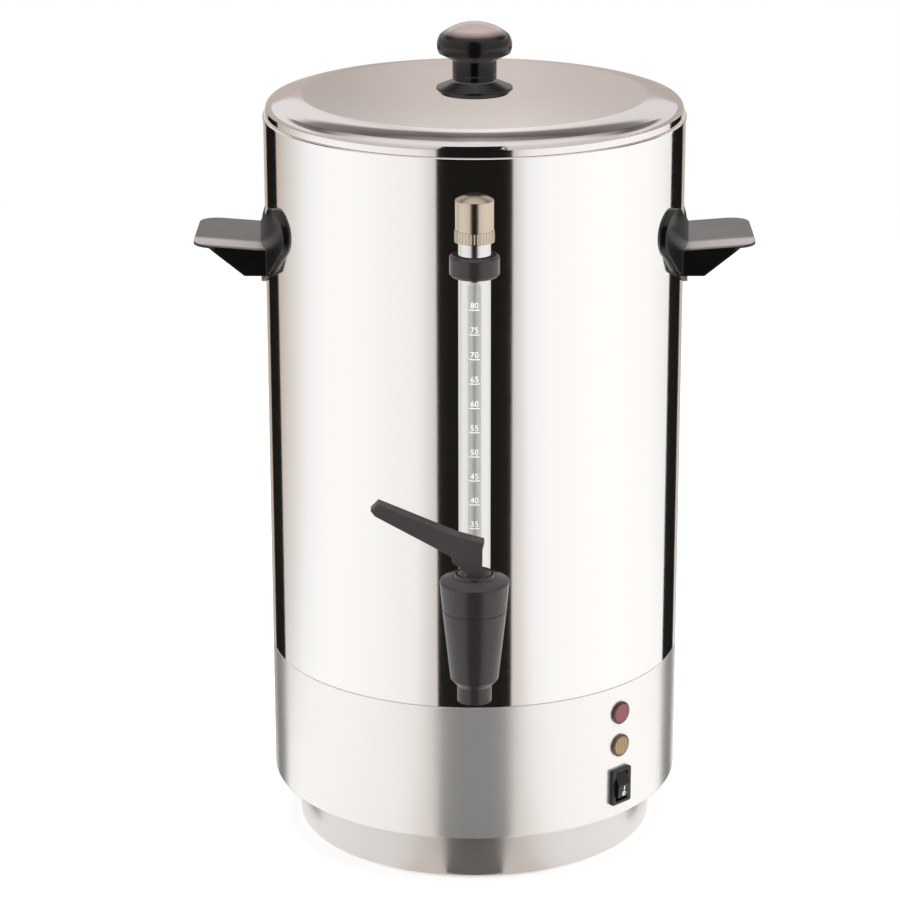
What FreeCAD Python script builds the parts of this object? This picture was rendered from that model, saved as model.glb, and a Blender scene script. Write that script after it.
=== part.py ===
"""Hot water urn with a lever tap and a sight gauge, in millimetres.

The base stands at z = 0 on the vertical centre line of the tank.
+Z is up, the tap and the gauge face -Y, and the handles lie along X.
"""
import FreeCAD, Part
import Sketcher
import math
import os
import re

# Driving sizes

DRIVING = {
    # Tank and its rim
    "tank_radius": 117.5,
    "tank_sheet": 0.8,
    "rim_top": 419.3,
    "bead_radius": 1.3,
    "floor_rise": 5.8,
    "floor_sheet": 0.8,
    "floor_gap": 0.1,
    "floor_round": 3.0,
    # Base: brushed band, plinth ring, cover and feet
    "seam_height": 110.2,
    "seam_gap": 0.3,
    "collar_height": 6.0,
    "collar_gap": 0.2,
    "base_sheet": 0.8,
    "band_round": 1.2,
    "step_height": 31.0,
    "foot_inset": 14.5,
    "foot_clearance": 1.6,
    "foot_lip": 6.0,
    "cover_sheet": 1.0,
    "cover_gap": 0.4,
    "vent_width": 3.0,
    "vent_length": 34.0,
    "vent_pitch": 9.0,
    "vent_count": 7,
    "pad_radius": 8.0,
    "pad_inset": 19.0,
    "barb_radius": 3.0,
    "barb_head": 4.2,
    "barb_height": 3.0,
    "barb_tip": 2.1,
    "barb_fit": 0.1,
    "tab_width": 12.0,
    "tab_depth": 14.0,
    "tab_height": 14.0,
    "tab_sheet": 1.5,
    "cover_screw_radius": 1.75,
    "cover_screw_head": 3.2,
    "cover_screw_head_height": 1.1,
    "cover_screw_length": 8.0,
    "screw_clearance": 0.2,
    "thread_fit": 0.05,
    # Heating under the tank floor
    "plate_radius": 72.0,
    "plate_thickness": 4.0,
    "seat_gap": 0.1,
    "element_circle": 54.0,
    "element_radius": 4.0,
    "element_sweep": 325.0,
    "pin_radius": 1.6,
    "pin_length": 12.0,
    "clamp_length": 124.0,
    "clamp_width": 14.0,
    "clamp_thickness": 2.0,
    "stud_radius": 3.0,
    "stud_length": 25.0,
    "nut_flats": 10.0,
    "nut_height": 5.0,
    "head_thickness": 1.5,
    "thermostat_radius": 12.0,
    "thermostat_head": 8.4,
    "thermostat_height": 10.0,
    "thermostat_circle": 28.0,
    "blade_width": 6.0,
    "blade_sheet": 0.8,
    "blade_length": 9.0,
    "blade_spread": 7.5,
    "cutout_radius": 9.0,
    "cutout_head": 6.3,
    "cutout_x": 31.0,
    "cutout_y": 22.0,
    "reset_radius": 2.5,
    "reset_length": 4.0,
    "reset_depth": 5.0,
    # Mains side: rail, terminal block, earth stud, appliance inlet
    "rail_gap": 0.6,
    "rail_width": 18.0,
    "rail_sheet": 1.5,
    "rail_inset": 41.5,
    "block_length": 46.0,
    "block_width": 14.0,
    "block_height": 16.0,
    "block_ways": 4,
    "wire_way_radius": 2.3,
    "screw_well_radius": 2.8,
    "earth_x": 40.0,
    "earth_length": 12.0,
    "earth_radius": 1.5,
    "earth_flats": 7.0,
    "earth_nut_height": 2.5,
    "inlet_height": 70.0,
    "inlet_flange_width": 25.0,
    "inlet_flange_height": 50.0,
    "inlet_flange_thickness": 2.6,
    "curve_allowance": 5.8,
    "inlet_body_width": 20.0,
    "inlet_body_height": 28.0,
    "inlet_body_depth": 20.0,
    "inlet_wall": 2.0,
    "inlet_floor": 3.0,
    "inlet_blade_pitch": 7.0,
    "inlet_blade_width": 4.0,
    "inlet_blade_sheet": 2.0,
    "inlet_blade_length": 16.0,
    "inlet_tail_length": 8.0,
    "inlet_screw_pitch": 40.0,
    "inlet_screw_radius": 1.5,
    "inlet_screw_head": 2.8,
    "inlet_screw_head_height": 1.6,
    "inlet_screw_length": 10.0,
    "cutout_fit": 0.3,
    "way_depth": 30.0,
    # Front panel: two lamps and the rocker switch
    "panel_azimuth": 44.2,
    "red_height": 93.8,
    "amber_height": 74.0,
    "lens_radius": 6.6,
    "lens_face_radius": 5.4,
    "lens_rim": 1.4,
    "lens_depth": 3.9,
    "lamp_body_radius": 4.9,
    "lamp_body_depth": 20.0,
    "lamp_clip_radius": 7.5,
    "lamp_clip_thickness": 1.0,
    "panel_back_gap": 0.2,
    "switch_height": 49.6,
    "bezel_width": 15.0,
    "bezel_height": 21.0,
    "bezel_thickness": 2.0,
    "bezel_round": 1.0,
    "switch_body_width": 13.0,
    "switch_body_height": 19.0,
    "switch_body_depth": 17.0,
    "window_width": 9.6,
    "window_height": 17.4,
    "window_depth": 11.0,
    "rocker_width": 9.2,
    "rocker_reach": 7.6,
    "rocker_pivot": 3.0,
    "rocker_half": 7.2,
    "rocker_shoulder": 5.4,
    "rocker_tilt": 22.0,
    "axle_radius": 1.2,
    "axle_fit": 0.05,
    "axle_bite": 0.8,
    # Tap: its levels are from the axis of its shank
    "shank_height": 166.0,
    "tap_reach": 42.5,
    "nozzle_drop": 33.0,
    "nozzle_length": 8.7,
    "nozzle_radius": 9.2,
    "nozzle_bore": 6.4,
    "waist_drop": 20.2,
    "waist_radius": 12.85,
    "groove_rise": 18.8,
    "groove_radius": 17.15,
    "tap_neck_radius": 15.0,
    "tap_neck_rise": 26.0,
    "chamber_radius": 11.0,
    "chamber_drop": 13.0,
    "seat_drop": 11.0,
    "seat_radius": 8.6,
    "shank_radius": 10.5,
    "shank_bore": 6.5,
    "shank_thread_radius": 9.5,
    "shank_thread_length": 15.0,
    "shoulder_radius": 15.0,
    "shoulder_thickness": 3.0,
    "washer_thickness": 2.5,
    "washer_curve": 2.0,
    "washer_radius": 14.5,
    "wall_fit": 0.3,
    "shank_nut_flats": 26.0,
    "shank_nut_height": 6.0,
    "gauge_standoff": 14.0,
    "socket_radius": 10.3,
    "socket_rise": 17.0,
    "socket_depth": 12.0,
    "water_way": 3.0,
    "bonnet_gap": 0.1,
    "bonnet_rim_radius": 18.6,
    "bonnet_rim_rise": 34.9,
    "bonnet_round": 1.0,
    "cone_rise": 2.4,
    "cone_top_radius": 11.3,
    "bonnet_roof_rise": 27.4,
    "ring_radius": 10.6,
    "ring_bore": 8.7,
    "ring_rise": 1.9,
    "stem_radius": 2.8,
    "stem_fit": 0.08,
    "spigot_radius": 1.96,
    "tongue_width": 4.4,
    "tongue_thickness": 3.2,
    "cup_radius": 8.4,
    "cup_thickness": 3.4,
    "cup_hub_radius": 4.2,
    "cup_hub_height": 8.0,
    "cup_gap": 0.05,
    "stem_bite": 6.0,
    "spring_radius": 6.4,
    "spring_wire": 0.5,
    "spring_turns": 7,
    "spring_rod": 0.3,
    # Lever: all heights and reaches are from its cross pin
    "pin_below_ring": 2.5,
    "cross_pin_radius": 1.0,
    "cross_pin_fit": 0.05,
    "foot_height": 5.0,
    "foot_gap": 0.15,
    "cam_reach": 3.6,
    "cam_angle": 33.0,
    "lever_thickness": 8.8,
    "fork_slot": 3.6,
    "fork_width": 12.0,
    "fork_height": 4.4,
    "neck_left": 4.2,
    "neck_right": 4.1,
    "neck_rise": 4.1,
    "heel_reach": 11.5,
    "heel_low": 9.3,
    "heel_high": 12.7,
    "arm_under_reach": 18.2,
    "arm_under_height": 16.1,
    "tip_under_reach": 52.4,
    "tip_under_height": 35.2,
    "tip_reach": 54.6,
    "tip_height": 38.2,
    "tip_top_reach": 50.6,
    "tip_top_height": 42.4,
    "arm_top_reach": 9.0,
    "arm_top_height": 24.6,
    "hub_back": 5.2,
    "hub_top": 20.6,
    "hub_step": 16.2,
    "lever_round": 0.8,
    # Sight gauge
    "guard_radius": 8.55,
    "guard_sheet": 0.8,
    "guard_rise": 10.0,
    "guard_top": 392.0,
    "guard_fit": 0.1,
    "slot_width": 7.1,
    "slot_rise": 22.0,
    "slot_top": 358.6,
    "glass_radius": 5.0,
    "glass_wall": 1.2,
    "glass_rise": 6.4,
    "glass_top": 382.0,
    "glass_fit": 0.05,
    "lower_seal_height": 4.6,
    "upper_seal_height": 5.0,
    "upper_seal_top": 380.0,
    "cap_radius": 10.1,
    "cap_knurl_radius": 10.6,
    "cap_bottom": 378.7,
    "cap_knurl_top": 385.0,
    "cap_shoulder": 400.8,
    "cap_top": 404.2,
    "cap_roof": 5.0,
    "knurl_count": 40,
    "knurl_depth": 0.35,
    "clamp_radius": 13.25,
    "clamp_bottom": 359.9,
    "clamp_top": 371.7,
    "clamp_chamfer": 1.4,
    "clamp_foot_width": 14.0,
    "gauge_screw_radius": 2.0,
    "gauge_screw_head": 3.8,
    "gauge_screw_head_height": 2.2,
    "gauge_screw_bite": 5.0,
    # Lid and knob
    "lid_top": 430.4,
    "lid_sheet": 0.8,
    "lid_inset": 1.2,
    "lid_seat_gap": 0.2,
    "lid_fit": 0.4,
    "lid_side": 3.7,
    "lid_shoulder_inset": 4.5,
    "lid_shoulder_drop": 3.1,
    "lid_shoulder_slope": 20.7,
    "lid_crown_inset": 21.5,
    "lid_edge_round": 5.2,
    "lid_crown_round": 48.3,
    "lid_collar_inset": 2.6,
    "lid_collar_depth": 9.0,
    "knob_hole": 2.8,
    "knob_flange_foot": 19.4,
    "knob_flange_radius": 21.4,
    "knob_flange_height": 2.5,
    "knob_flange_shoulder": 3.6,
    "knob_flange_top": 7.1,
    "knob_neck_foot": 11.3,
    "knob_neck_radius": 12.3,
    "knob_groove_height": 10.6,
    "knob_groove_depth": 0.5,
    "knob_groove_width": 0.8,
    "knob_neck_top": 19.1,
    "knob_under_radius": 13.5,
    "knob_rim_bottom": 22.6,
    "knob_rim_bottom_radius": 20.0,
    "knob_side_round": 10.6,
    "knob_rim_top": 32.4,
    "knob_rim_top_radius": 19.2,
    "knob_top": 39.6,
    "knob_screw_radius": 2.5,
    "knob_screw_head": 5.0,
    "knob_screw_head_height": 2.4,
    "knob_key_depth": 1.4,
    "knob_screw_bite": 14.0,
    "knob_washer_radius": 9.0,
    "knob_washer_thickness": 1.5,
    # Handles
    "flange_thickness": 2.6,
    "flange_wall_gap": 0.1,
    "grip_half_width": 34.0,
    "grip_reach": 38.8,
    "grip_root_top": 347.6,
    "grip_tip_top": 351.6,
    "grip_plate": 3.6,
    "grip_edge": 1.8,
    "grip_side": 3.2,
    "grip_corner": 13.0,
    "skirt_bottom": 334.0,
    "skirt_level": 10.0,
    "skirt_end": 29.6,
    "flange_foot": 322.0,
    "flange_low_across": 20.0,
    "flange_low_height": 328.0,
    "flange_mid_across": 43.0,
    "flange_mid_height": 339.5,
    "flange_notch": 354.0,
    "lobe_across": 46.0,
    "lobe_height": 361.0,
    "lobe_radius": 14.0,
    "boss_radius": 5.0,
    "boss_length": 8.0,
    "boss_spread": 16.0,
    "boss_height": 339.6,
    "handle_screw_radius": 2.0,
    "handle_screw_bite": 7.0,
    "handle_screw_head": 4.0,
    "handle_screw_head_height": 2.4,
    "handle_washer_radius": 5.5,
    "handle_washer_thickness": 1.0,
}

doc = FreeCAD.newDocument("hot_water_urn")
sheet = doc.addObject("Spreadsheet::Sheet", "Sizes")
for row, (alias, number) in enumerate(DRIVING.items(), start=1):
    sheet.set(f"A{row}", alias)
    sheet.set(f"B{row}", str(number))
    sheet.setAlias(f"B{row}", alias)
doc.recompute()

# Helpers

WORD = re.compile(r"[a-z][a-z0-9_]*")
ALONG_X = FreeCAD.Rotation(FreeCAD.Vector(0, 1, 0), 90)
ALONG_Y = FreeCAD.Rotation(FreeCAD.Vector(1, 0, 0), -90)
NEAR = 1e-4
NODES = []


def bound(text):
    """Return an expression with the sheet's name before each of its aliases."""
    return WORD.sub(lambda m: "Sizes." + m.group() if m.group() in DRIVING else m.group(), str(text))


def value(text):
    """Return the number that an expression has now."""
    return float(sheet.evalExpression(bound(text)))


def bind(thing, prop, text):
    thing.setExpression(prop, bound(text))


def place(thing, at, turn=None):
    """Put a piece at three expressions, with an optional fixed turn."""
    if turn is not None:
        thing.Placement = FreeCAD.Placement(FreeCAD.Vector(), turn)
    for axis, text in zip("xyz", at):
        bind(thing, f"Placement.Base.{axis}", text)
    return thing


def primitive(kind, name, sizes, at=("0", "0", "0"), turn=None):
    thing = doc.addObject(f"Part::{kind}", name)
    for prop, text in sizes.items():
        bind(thing, prop, text)
    return place(thing, at, turn)


def cylinder(name, radius, height, at=("0", "0", "0"), turn=None):
    return primitive("Cylinder", name, {"Radius": radius, "Height": height}, at, turn)


def box(name, wide, deep, high, at):
    """A box centred on at in X and Y, standing on at's height."""
    low = (f"{at[0]} - ({wide}) / 2", f"{at[1]} - ({deep}) / 2", at[2])
    return primitive("Box", name, {"Length": wide, "Width": deep, "Height": high}, low)


def hexagon(name, flats, height, at, turn=None):
    prism = primitive("Prism", name, {"Circumradius": f"({flats}) / 2 / cos(30)", "Height": height}, at,
                      turn)
    prism.Polygon = 6
    return prism


def cut(name, base, *tools):
    """Take each tool away from the base, one after another."""
    for number, tool in enumerate(tools):
        step = doc.addObject("Part::Cut", name if number == len(tools) - 1 else f"{name}_{number}")
        step.Base = base
        step.Tool = tool
        base = step
    return base


def fuse(name, *pieces):
    thing = doc.addObject("Part::MultiFuse", name)
    thing.Shapes = list(pieces)
    thing.Refine = True
    return thing


def common(name, *pieces):
    thing = doc.addObject("Part::MultiCommon", name)
    thing.Shapes = list(pieces)
    return thing


def group(name, pieces):
    """Several separate solids as one piece."""
    thing = doc.addObject("Part::Compound", name)
    thing.Links = list(pieces)
    return thing


def turned(name, source, angle):
    """A copy of a piece, turned about the urn's centre line."""
    thing = doc.addObject("Part::Compound", name)
    thing.Links = [source]
    thing.Placement = FreeCAD.Placement(FreeCAD.Vector(), FreeCAD.Rotation(FreeCAD.Vector(0, 0, 1), 1))
    bind(thing, "Placement.Rotation.Angle", angle)
    return thing


def node(label, thing):
    thing.Label = label
    NODES.append(thing)
    return thing


def plane_of(body, role):
    return next(feature for feature in body.Origin.OriginFeatures if feature.Role == role)


def outline(body, plane, points):
    """Draw a closed outline. A point may carry the radius of the arc that arrives at it,
    which bulges to the right of the way the outline runs, or to the left if negative."""
    drawing = body.newObject("Sketcher::SketchObject", body.Name + "_outline")
    drawing.AttachmentSupport = [(plane_of(body, plane), "")]
    drawing.MapMode = "FlatFace"
    places = [FreeCAD.Vector(value(point[0]), value(point[1]), 0) for point in points]
    ends = []
    for index, point in enumerate(points):
        start, stop = places[index - 1], places[index]
        if len(point) == 3:
            radius = value(point[2])
            chord = stop - start
            across = FreeCAD.Vector(-chord.y, chord.x, 0).normalize()
            depth = math.sqrt(radius * radius - chord.Length * chord.Length / 4)
            side = math.copysign(1, radius)
            centre = (start + stop) / 2 + across * depth * side
            peak = centre - across * abs(radius) * side
            drawing.addGeometry(Part.Arc(start, peak, stop), False)
            drawing.addConstraint(Sketcher.Constraint("Radius", index, abs(radius)))
            bind(drawing, f"Constraints[{drawing.ConstraintCount - 1}]", f"abs({point[2]})")
            ends.append((1, 2) if side > 0 else (2, 1))
        else:
            drawing.addGeometry(Part.LineSegment(start, stop), False)
            ends.append((1, 2))
    count = len(points)
    for index, point in enumerate(points):
        following = (index + 1) % count
        last, first = ends[index][1], ends[following][0]
        drawing.addConstraint(Sketcher.Constraint("Coincident", index, last, following, first))
        for kind, text in zip(("DistanceX", "DistanceY"), point[:2]):
            drawing.addConstraint(Sketcher.Constraint(kind, -1, 1, index, last, value(text)))
            bind(drawing, f"Constraints[{drawing.ConstraintCount - 1}]", text)
    return drawing


def revolved(name, points, at=None):
    """Spin an outline of radii and heights about the vertical axis."""
    body = doc.addObject("PartDesign::Body", name)
    drawing = outline(body, "XZ_Plane", points)
    spin = body.newObject("PartDesign::Revolution", name + "_spin")
    spin.Profile = drawing
    spin.ReferenceAxis = (drawing, ["V_Axis"])
    spin.Angle = 360
    body.Tip = spin
    return place(body, at) if at else body


def padded(name, plane, points, length, at=None):
    """Push an outline both ways from its plane by half of a length."""
    body = doc.addObject("PartDesign::Body", name)
    drawing = outline(body, plane, points)
    pad = body.newObject("PartDesign::Pad", name + "_pad")
    pad.Profile = drawing
    pad.Midplane = True
    bind(pad, "Length", length)
    body.Tip = pad
    return place(body, at) if at else body


def rounded(body, radius, wanted):
    """Round the edges of a body for which wanted(edge) is true."""
    doc.recompute()
    last = body.Tip
    names = [f"Edge{number}" for number, edge in enumerate(last.Shape.Edges, start=1) if wanted(edge)]
    if not names:
        raise ValueError("no edge to round on " + body.Name)
    fillet = body.newObject("PartDesign::Fillet", f"{body.Name}_round_{len(body.Group)}")
    fillet.Base = (last, names)
    bind(fillet, "Radius", radius)
    body.Tip = fillet
    return body


def runs_along_y(edge):
    """Match the straight edges that run along Y."""
    return abs(abs(edge.tangentAt(edge.FirstParameter).y) - 1) < NEAR


def ring_edge(radius, height):
    """Match the circular edge of a radius at a height."""
    wide, high = value(radius), value(height)

    def matches(edge):
        if edge.Degenerated or not isinstance(edge.Curve, Part.Circle):
            return False
        return abs(edge.Curve.Radius - wide) < NEAR and abs(edge.Curve.Center.z - high) < NEAR
    return matches


# Derived sizes, shared by the pieces that meet

TANK_INNER = "(tank_radius - tank_sheet)"
TANK_FOOT = "(seam_height + seam_gap)"
COLLAR_RADIUS = f"({TANK_INNER} - collar_gap)"
COLLAR_TOP = "(seam_height + collar_height)"
FLOOR_RADIUS = f"({TANK_INNER} - floor_gap)"
FLOOR_TOP = f"({COLLAR_TOP} + floor_rise)"
FLOOR_UNDER = f"({FLOOR_TOP} - floor_sheet)"
FOOT_RADIUS = "(tank_radius - foot_inset)"
FOOT_EDGE = f"({FOOT_RADIUS} - foot_lip)"
FOOT_INNER = f"({FOOT_RADIUS} - base_sheet)"
FOOT_TOP = "(step_height - base_sheet)"
BAND_INNER = "(tank_radius - base_sheet)"
COVER_BOTTOM = "(foot_clearance + base_sheet)"
COVER_LOW = f"({COVER_BOTTOM} + seat_gap)"
COVER_HIGH = f"({COVER_LOW} + cover_sheet)"
COVER_RADIUS = f"({FOOT_INNER} - cover_gap)"
PAD_CIRCLE = f"({FOOT_RADIUS} - pad_inset)"
RAIL_BACK = "(tank_radius - rail_inset)"
GAUGE_Y = "(-tank_radius - gauge_standoff)"
TAP_Y = "(-tank_radius - tap_reach)"
NOZZLE_BOTTOM = "(shank_height - nozzle_drop)"
NECK_TOP = "(shank_height + tap_neck_rise)"
GROOVE_LEVEL = "(shank_height + groove_rise)"
SEAT_TOP = "(shank_height - seat_drop)"
BONNET_ROOF = "(shank_height + bonnet_roof_rise)"
BONNET_RIM = "(shank_height + bonnet_rim_rise)"
CONE_TOP = f"({BONNET_RIM} + cone_rise)"
RING_TOP = f"({CONE_TOP} + ring_rise)"
PIN_HEIGHT = f"({RING_TOP} - pin_below_ring)"
RECESS_FLOOR = f"({PIN_HEIGHT} - foot_height - foot_gap)"
SOCKET_TOP = "(shank_height + socket_rise)"
SOCKET_FLOOR = f"({SOCKET_TOP} - socket_depth)"
GUARD_BOTTOM = "(shank_height + guard_rise)"
GLASS_BOTTOM = "(shank_height + glass_rise)"
SLOT_BOTTOM = "(shank_height + slot_rise)"
LID_SEAT = "(rim_top + lid_seat_gap)"
LID_UNDER = "(lid_top - lid_sheet)"
LID_RADIUS = "(tank_radius - lid_inset)"
LID_COLLAR = "(tank_radius - lid_collar_inset)"
LID_SHOULDER = "(tank_radius - lid_shoulder_inset)"
LID_CROWN = "(tank_radius - lid_crown_inset)"
LIP_RADIUS = f"({LID_COLLAR} + lid_fit)"


# Tank wall and floor

tank = revolved("TankSheet", [
    (TANK_INNER, TANK_FOOT),
    ("tank_radius", TANK_FOOT),
    ("tank_radius", "rim_top - bead_radius"),
    ("tank_radius + bead_radius / 3", "rim_top - bead_radius"),
    ("tank_radius + bead_radius / 3", "rim_top - bead_radius / 3"),
    ("tank_radius", "rim_top"),
    (LIP_RADIUS, "rim_top"),
    (LIP_RADIUS, "rim_top - tank_sheet"),
    (TANK_INNER, "rim_top - tank_sheet"),
])
shank_bore = cylinder("ShankWay", "shank_thread_radius + wall_fit", "tap_reach",
                      ("0", "-tank_radius - tap_reach / 2", "shank_height"), ALONG_Y)
gauge_bore = cylinder("GaugeScrewWay", "gauge_screw_radius + screw_clearance", "gauge_standoff",
                      ("0", "-tank_radius - gauge_standoff / 2",
                       "(clamp_bottom + clamp_top) / 2"), ALONG_Y)
handle_bores = []
for side in (-1, 1):
    for spread in (-1, 1):
        handle_bores.append(cylinder("HandleScrewWay", "handle_screw_radius + screw_clearance",
                                     "tank_radius",
                                     (f"{side} * tank_radius - tank_radius / 2",
                                      f"{spread} * boss_spread",
                                      "boss_height"), ALONG_X))
node("tank_wall", cut("TankWall", tank, shank_bore, gauge_bore, fuse("HandleScrewWays", *handle_bores)))

floor = revolved("FloorSheet", [
    ("0", FLOOR_UNDER),
    (f"{FLOOR_RADIUS} - floor_round", FLOOR_UNDER),
    (f"{FLOOR_RADIUS} - floor_sheet", f"{FLOOR_UNDER} - (floor_round - floor_sheet)"),
    (f"{FLOOR_RADIUS} - floor_sheet", f"{COLLAR_TOP} + seam_gap"),
    (FLOOR_RADIUS, f"{COLLAR_TOP} + seam_gap"),
    (FLOOR_RADIUS, f"{FLOOR_TOP} - floor_round"),
    (f"{FLOOR_RADIUS} - floor_round", FLOOR_TOP),
    ("0", FLOOR_TOP),
])
node("tank_floor", floor)

# Heating plate, element and clamp

plate_top = f"({FLOOR_UNDER} - seat_gap)"
plate_bottom = f"({plate_top} - plate_thickness)"
element_top = f"({plate_bottom} - seat_gap)"
element_axis = f"({element_top} - element_radius)"
clamp_top = f"({element_axis} - element_radius - seat_gap)"
clamp_bottom = f"({clamp_top} - clamp_thickness)"
nut_top = f"({clamp_bottom} - seat_gap)"

plate = cylinder("Plate", "plate_radius", "plate_thickness", ("0", "0", plate_bottom))
stud_way = cylinder("StudWay", "stud_radius + screw_clearance", "plate_thickness",
                    ("0", "0", plate_bottom))
node("heat_plate", cut("HeatPlate", plate, stud_way))

stud_top = f"({FLOOR_UNDER} - seat_gap / 2)"
node("floor_stud", cylinder("FloorStud", "stud_radius", "stud_length",
                            ("0", "0", f"{stud_top} - stud_length")))

element_arc = doc.addObject("Part::Torus", "ElementArc")
bind(element_arc, "Radius1", "element_circle")
bind(element_arc, "Radius2", "element_radius")
bind(element_arc, "Angle3", "element_sweep")
place(element_arc, ("0", "0", element_axis), FreeCAD.Rotation(FreeCAD.Vector(0, 0, 1), 1))
bind(element_arc, "Placement.Rotation.Angle", "90 + (360 - element_sweep) / 2")
element_parts = [element_arc]
for side in (-1, 1):
    end_x = f"{side} * element_circle * sin((360 - element_sweep) / 2)"
    end_y = "element_circle * cos((360 - element_sweep) / 2)"
    element_parts.append(cylinder("ElementEnd", "element_radius", "element_radius + head_thickness",
                                  (end_x, end_y, f"{element_axis} - element_radius - head_thickness")))
    element_parts.append(cylinder("ElementPin", "pin_radius", "pin_length",
                                  (end_x, end_y, f"{element_axis} - pin_length")))
node("heating_element", fuse("HeatingElement", *element_parts))

clamp_bar = box("ClampBar", "clamp_length", "clamp_width", "clamp_thickness", ("0", "0", clamp_bottom))
clamp_way = cylinder("ClampWay", "stud_radius + screw_clearance", "clamp_thickness",
                     ("0", "0", clamp_bottom))
node("element_clamp", cut("ElementClamp", clamp_bar, clamp_way))

nut_body = hexagon("NutBody", "nut_flats", "nut_height", ("0", "0", f"{nut_top} - nut_height"))
nut_way = cylinder("NutWay", "stud_radius + thread_fit", "nut_height",
                   ("0", "0", f"{nut_top} - nut_height"))
node("clamp_nut", cut("ClampNut", nut_body, nut_way))

# Thermostats hang from the clamp; the safety cut-out touches the plate beside it


def thermostat(name, radius, head_radius, head_height, at):
    """A disc thermostat that hangs from a point, with a stepped head and two spade terminals."""
    across, along, top = at
    shoulder = f"({top} - {head_height})"
    low = f"({shoulder} - thermostat_height)"
    parts = [
        cylinder(name + "Head", head_radius, head_height, (across, along, shoulder)),
        cylinder(name + "Body", radius, "thermostat_height", (across, along, low)),
    ]
    for spread in (-1, 1):
        parts.append(box(name + "Blade", "blade_sheet", "blade_width", "blade_length + blade_sheet",
                         (f"{across} + {spread} * blade_spread", along, f"{low} - blade_length")))
    return fuse(name, *parts)


for label, side in (("boil_thermostat", -1), ("warm_thermostat", 1)):
    hung_from = (f"{side} * thermostat_circle", "0", f"{clamp_bottom} - seat_gap")
    node(label, thermostat(label.title(), "thermostat_radius", "thermostat_head", "head_thickness",
                           hung_from))

cutout_top = f"({plate_bottom} - seat_gap)"
cutout_low = f"({cutout_top} - element_radius - thermostat_height)"
cutout_solid = thermostat("CutoutSolid", "cutout_radius", "cutout_head", "element_radius",
                          ("cutout_x", "cutout_y", cutout_top))
reset_way = cylinder("ResetWay", "reset_radius + axle_fit", "reset_depth",
                     ("cutout_x", "cutout_y", cutout_low))
node("safety_cutout", cut("SafetyCutout", cutout_solid, reset_way))
node("reset_button", cylinder("ResetButton", "reset_radius", "reset_length + reset_depth / 2",
                              ("cutout_x", "cutout_y", f"{cutout_low} - reset_length")))

# Base band and plinth ring

band = revolved("BandSheet", [
    (FOOT_EDGE, "step_height"),
    ("tank_radius", "step_height"),
    ("tank_radius", "seam_height"),
    (COLLAR_RADIUS, "seam_height"),
    (COLLAR_RADIUS, COLLAR_TOP),
    (f"{COLLAR_RADIUS} - base_sheet", COLLAR_TOP),
    (f"{COLLAR_RADIUS} - base_sheet", "seam_height - base_sheet"),
    (BAND_INNER, "seam_height - base_sheet"),
    (BAND_INNER, "step_height + base_sheet"),
    (FOOT_EDGE, "step_height + base_sheet"),
])
rounded(band, "band_round", ring_edge("tank_radius", "step_height"))
rounded(band, "band_round / 3", ring_edge("tank_radius", "seam_height"))

foot = revolved("FootSheet", [
    (FOOT_EDGE, "foot_clearance"),
    (FOOT_RADIUS, "foot_clearance"),
    (FOOT_RADIUS, "step_height - seat_gap"),
    (FOOT_EDGE, "step_height - seat_gap"),
    (FOOT_EDGE, f"{FOOT_TOP} - seat_gap"),
    (FOOT_INNER, f"{FOOT_TOP} - seat_gap"),
    (FOOT_INNER, COVER_BOTTOM),
    (FOOT_EDGE, COVER_BOTTOM),
])
rounded(foot, "band_round / 2", ring_edge(FOOT_RADIUS, "foot_clearance"))
node("foot_ring", foot)

# Bottom cover with vents, its feet, tabs and screws

feet_at = []
tabs_at = []
for number in range(4):
    feet_at.append((f"{PAD_CIRCLE} * cos(45 + 90 * {number})", f"{PAD_CIRCLE} * sin(45 + 90 * {number})"))
for number in range(3):
    tabs_at.append((f"({COVER_RADIUS} - tab_depth / 2)", f"(90 + 120 * {number})"))

tab_screw_at = f"({FOOT_EDGE} - cover_screw_head - cover_gap)"
cover_disc = cylinder("CoverDisc", COVER_RADIUS, "cover_sheet", ("0", "0", COVER_LOW))
cover_tools = []
for number in range(int(value("vent_count"))):
    cover_tools.append(box("Vent", "vent_width", "vent_length", "cover_sheet",
                           (f"({number} - (vent_count - 1) / 2) * vent_pitch", "0", COVER_LOW)))
for across, along in feet_at:
    cover_tools.append(cylinder("BarbWay", "barb_radius + barb_fit", "cover_sheet",
                                (across, along, COVER_LOW)))
for reach, turn in tabs_at:
    cover_tools.append(cylinder("CoverScrewWay", "cover_screw_radius + screw_clearance", "cover_sheet",
                                (f"{tab_screw_at} * cos({turn})", f"{tab_screw_at} * sin({turn})",
                                 COVER_LOW)))
node("bottom_cover", cut("BottomCover", cover_disc, fuse("CoverWays", *cover_tools)))

pads = []
for across, along in feet_at:
    pads.append(revolved("Pad", [
        ("0", "0"),
        ("pad_radius - barb_fit * 4", "0"),
        ("pad_radius", "barb_fit * 4"),
        ("pad_radius", f"{COVER_LOW} - seat_gap"),
        ("barb_radius", f"{COVER_LOW} - seat_gap"),
        ("barb_radius", f"{COVER_HIGH} + seat_gap"),
        ("barb_head", f"{COVER_HIGH} + seat_gap"),
        ("barb_tip", f"{COVER_HIGH} + barb_height"),
        ("0", f"{COVER_HIGH} + barb_height"),
    ], (across, along, "0")))
node("rubber_feet", group("RubberFeet", pads))

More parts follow.
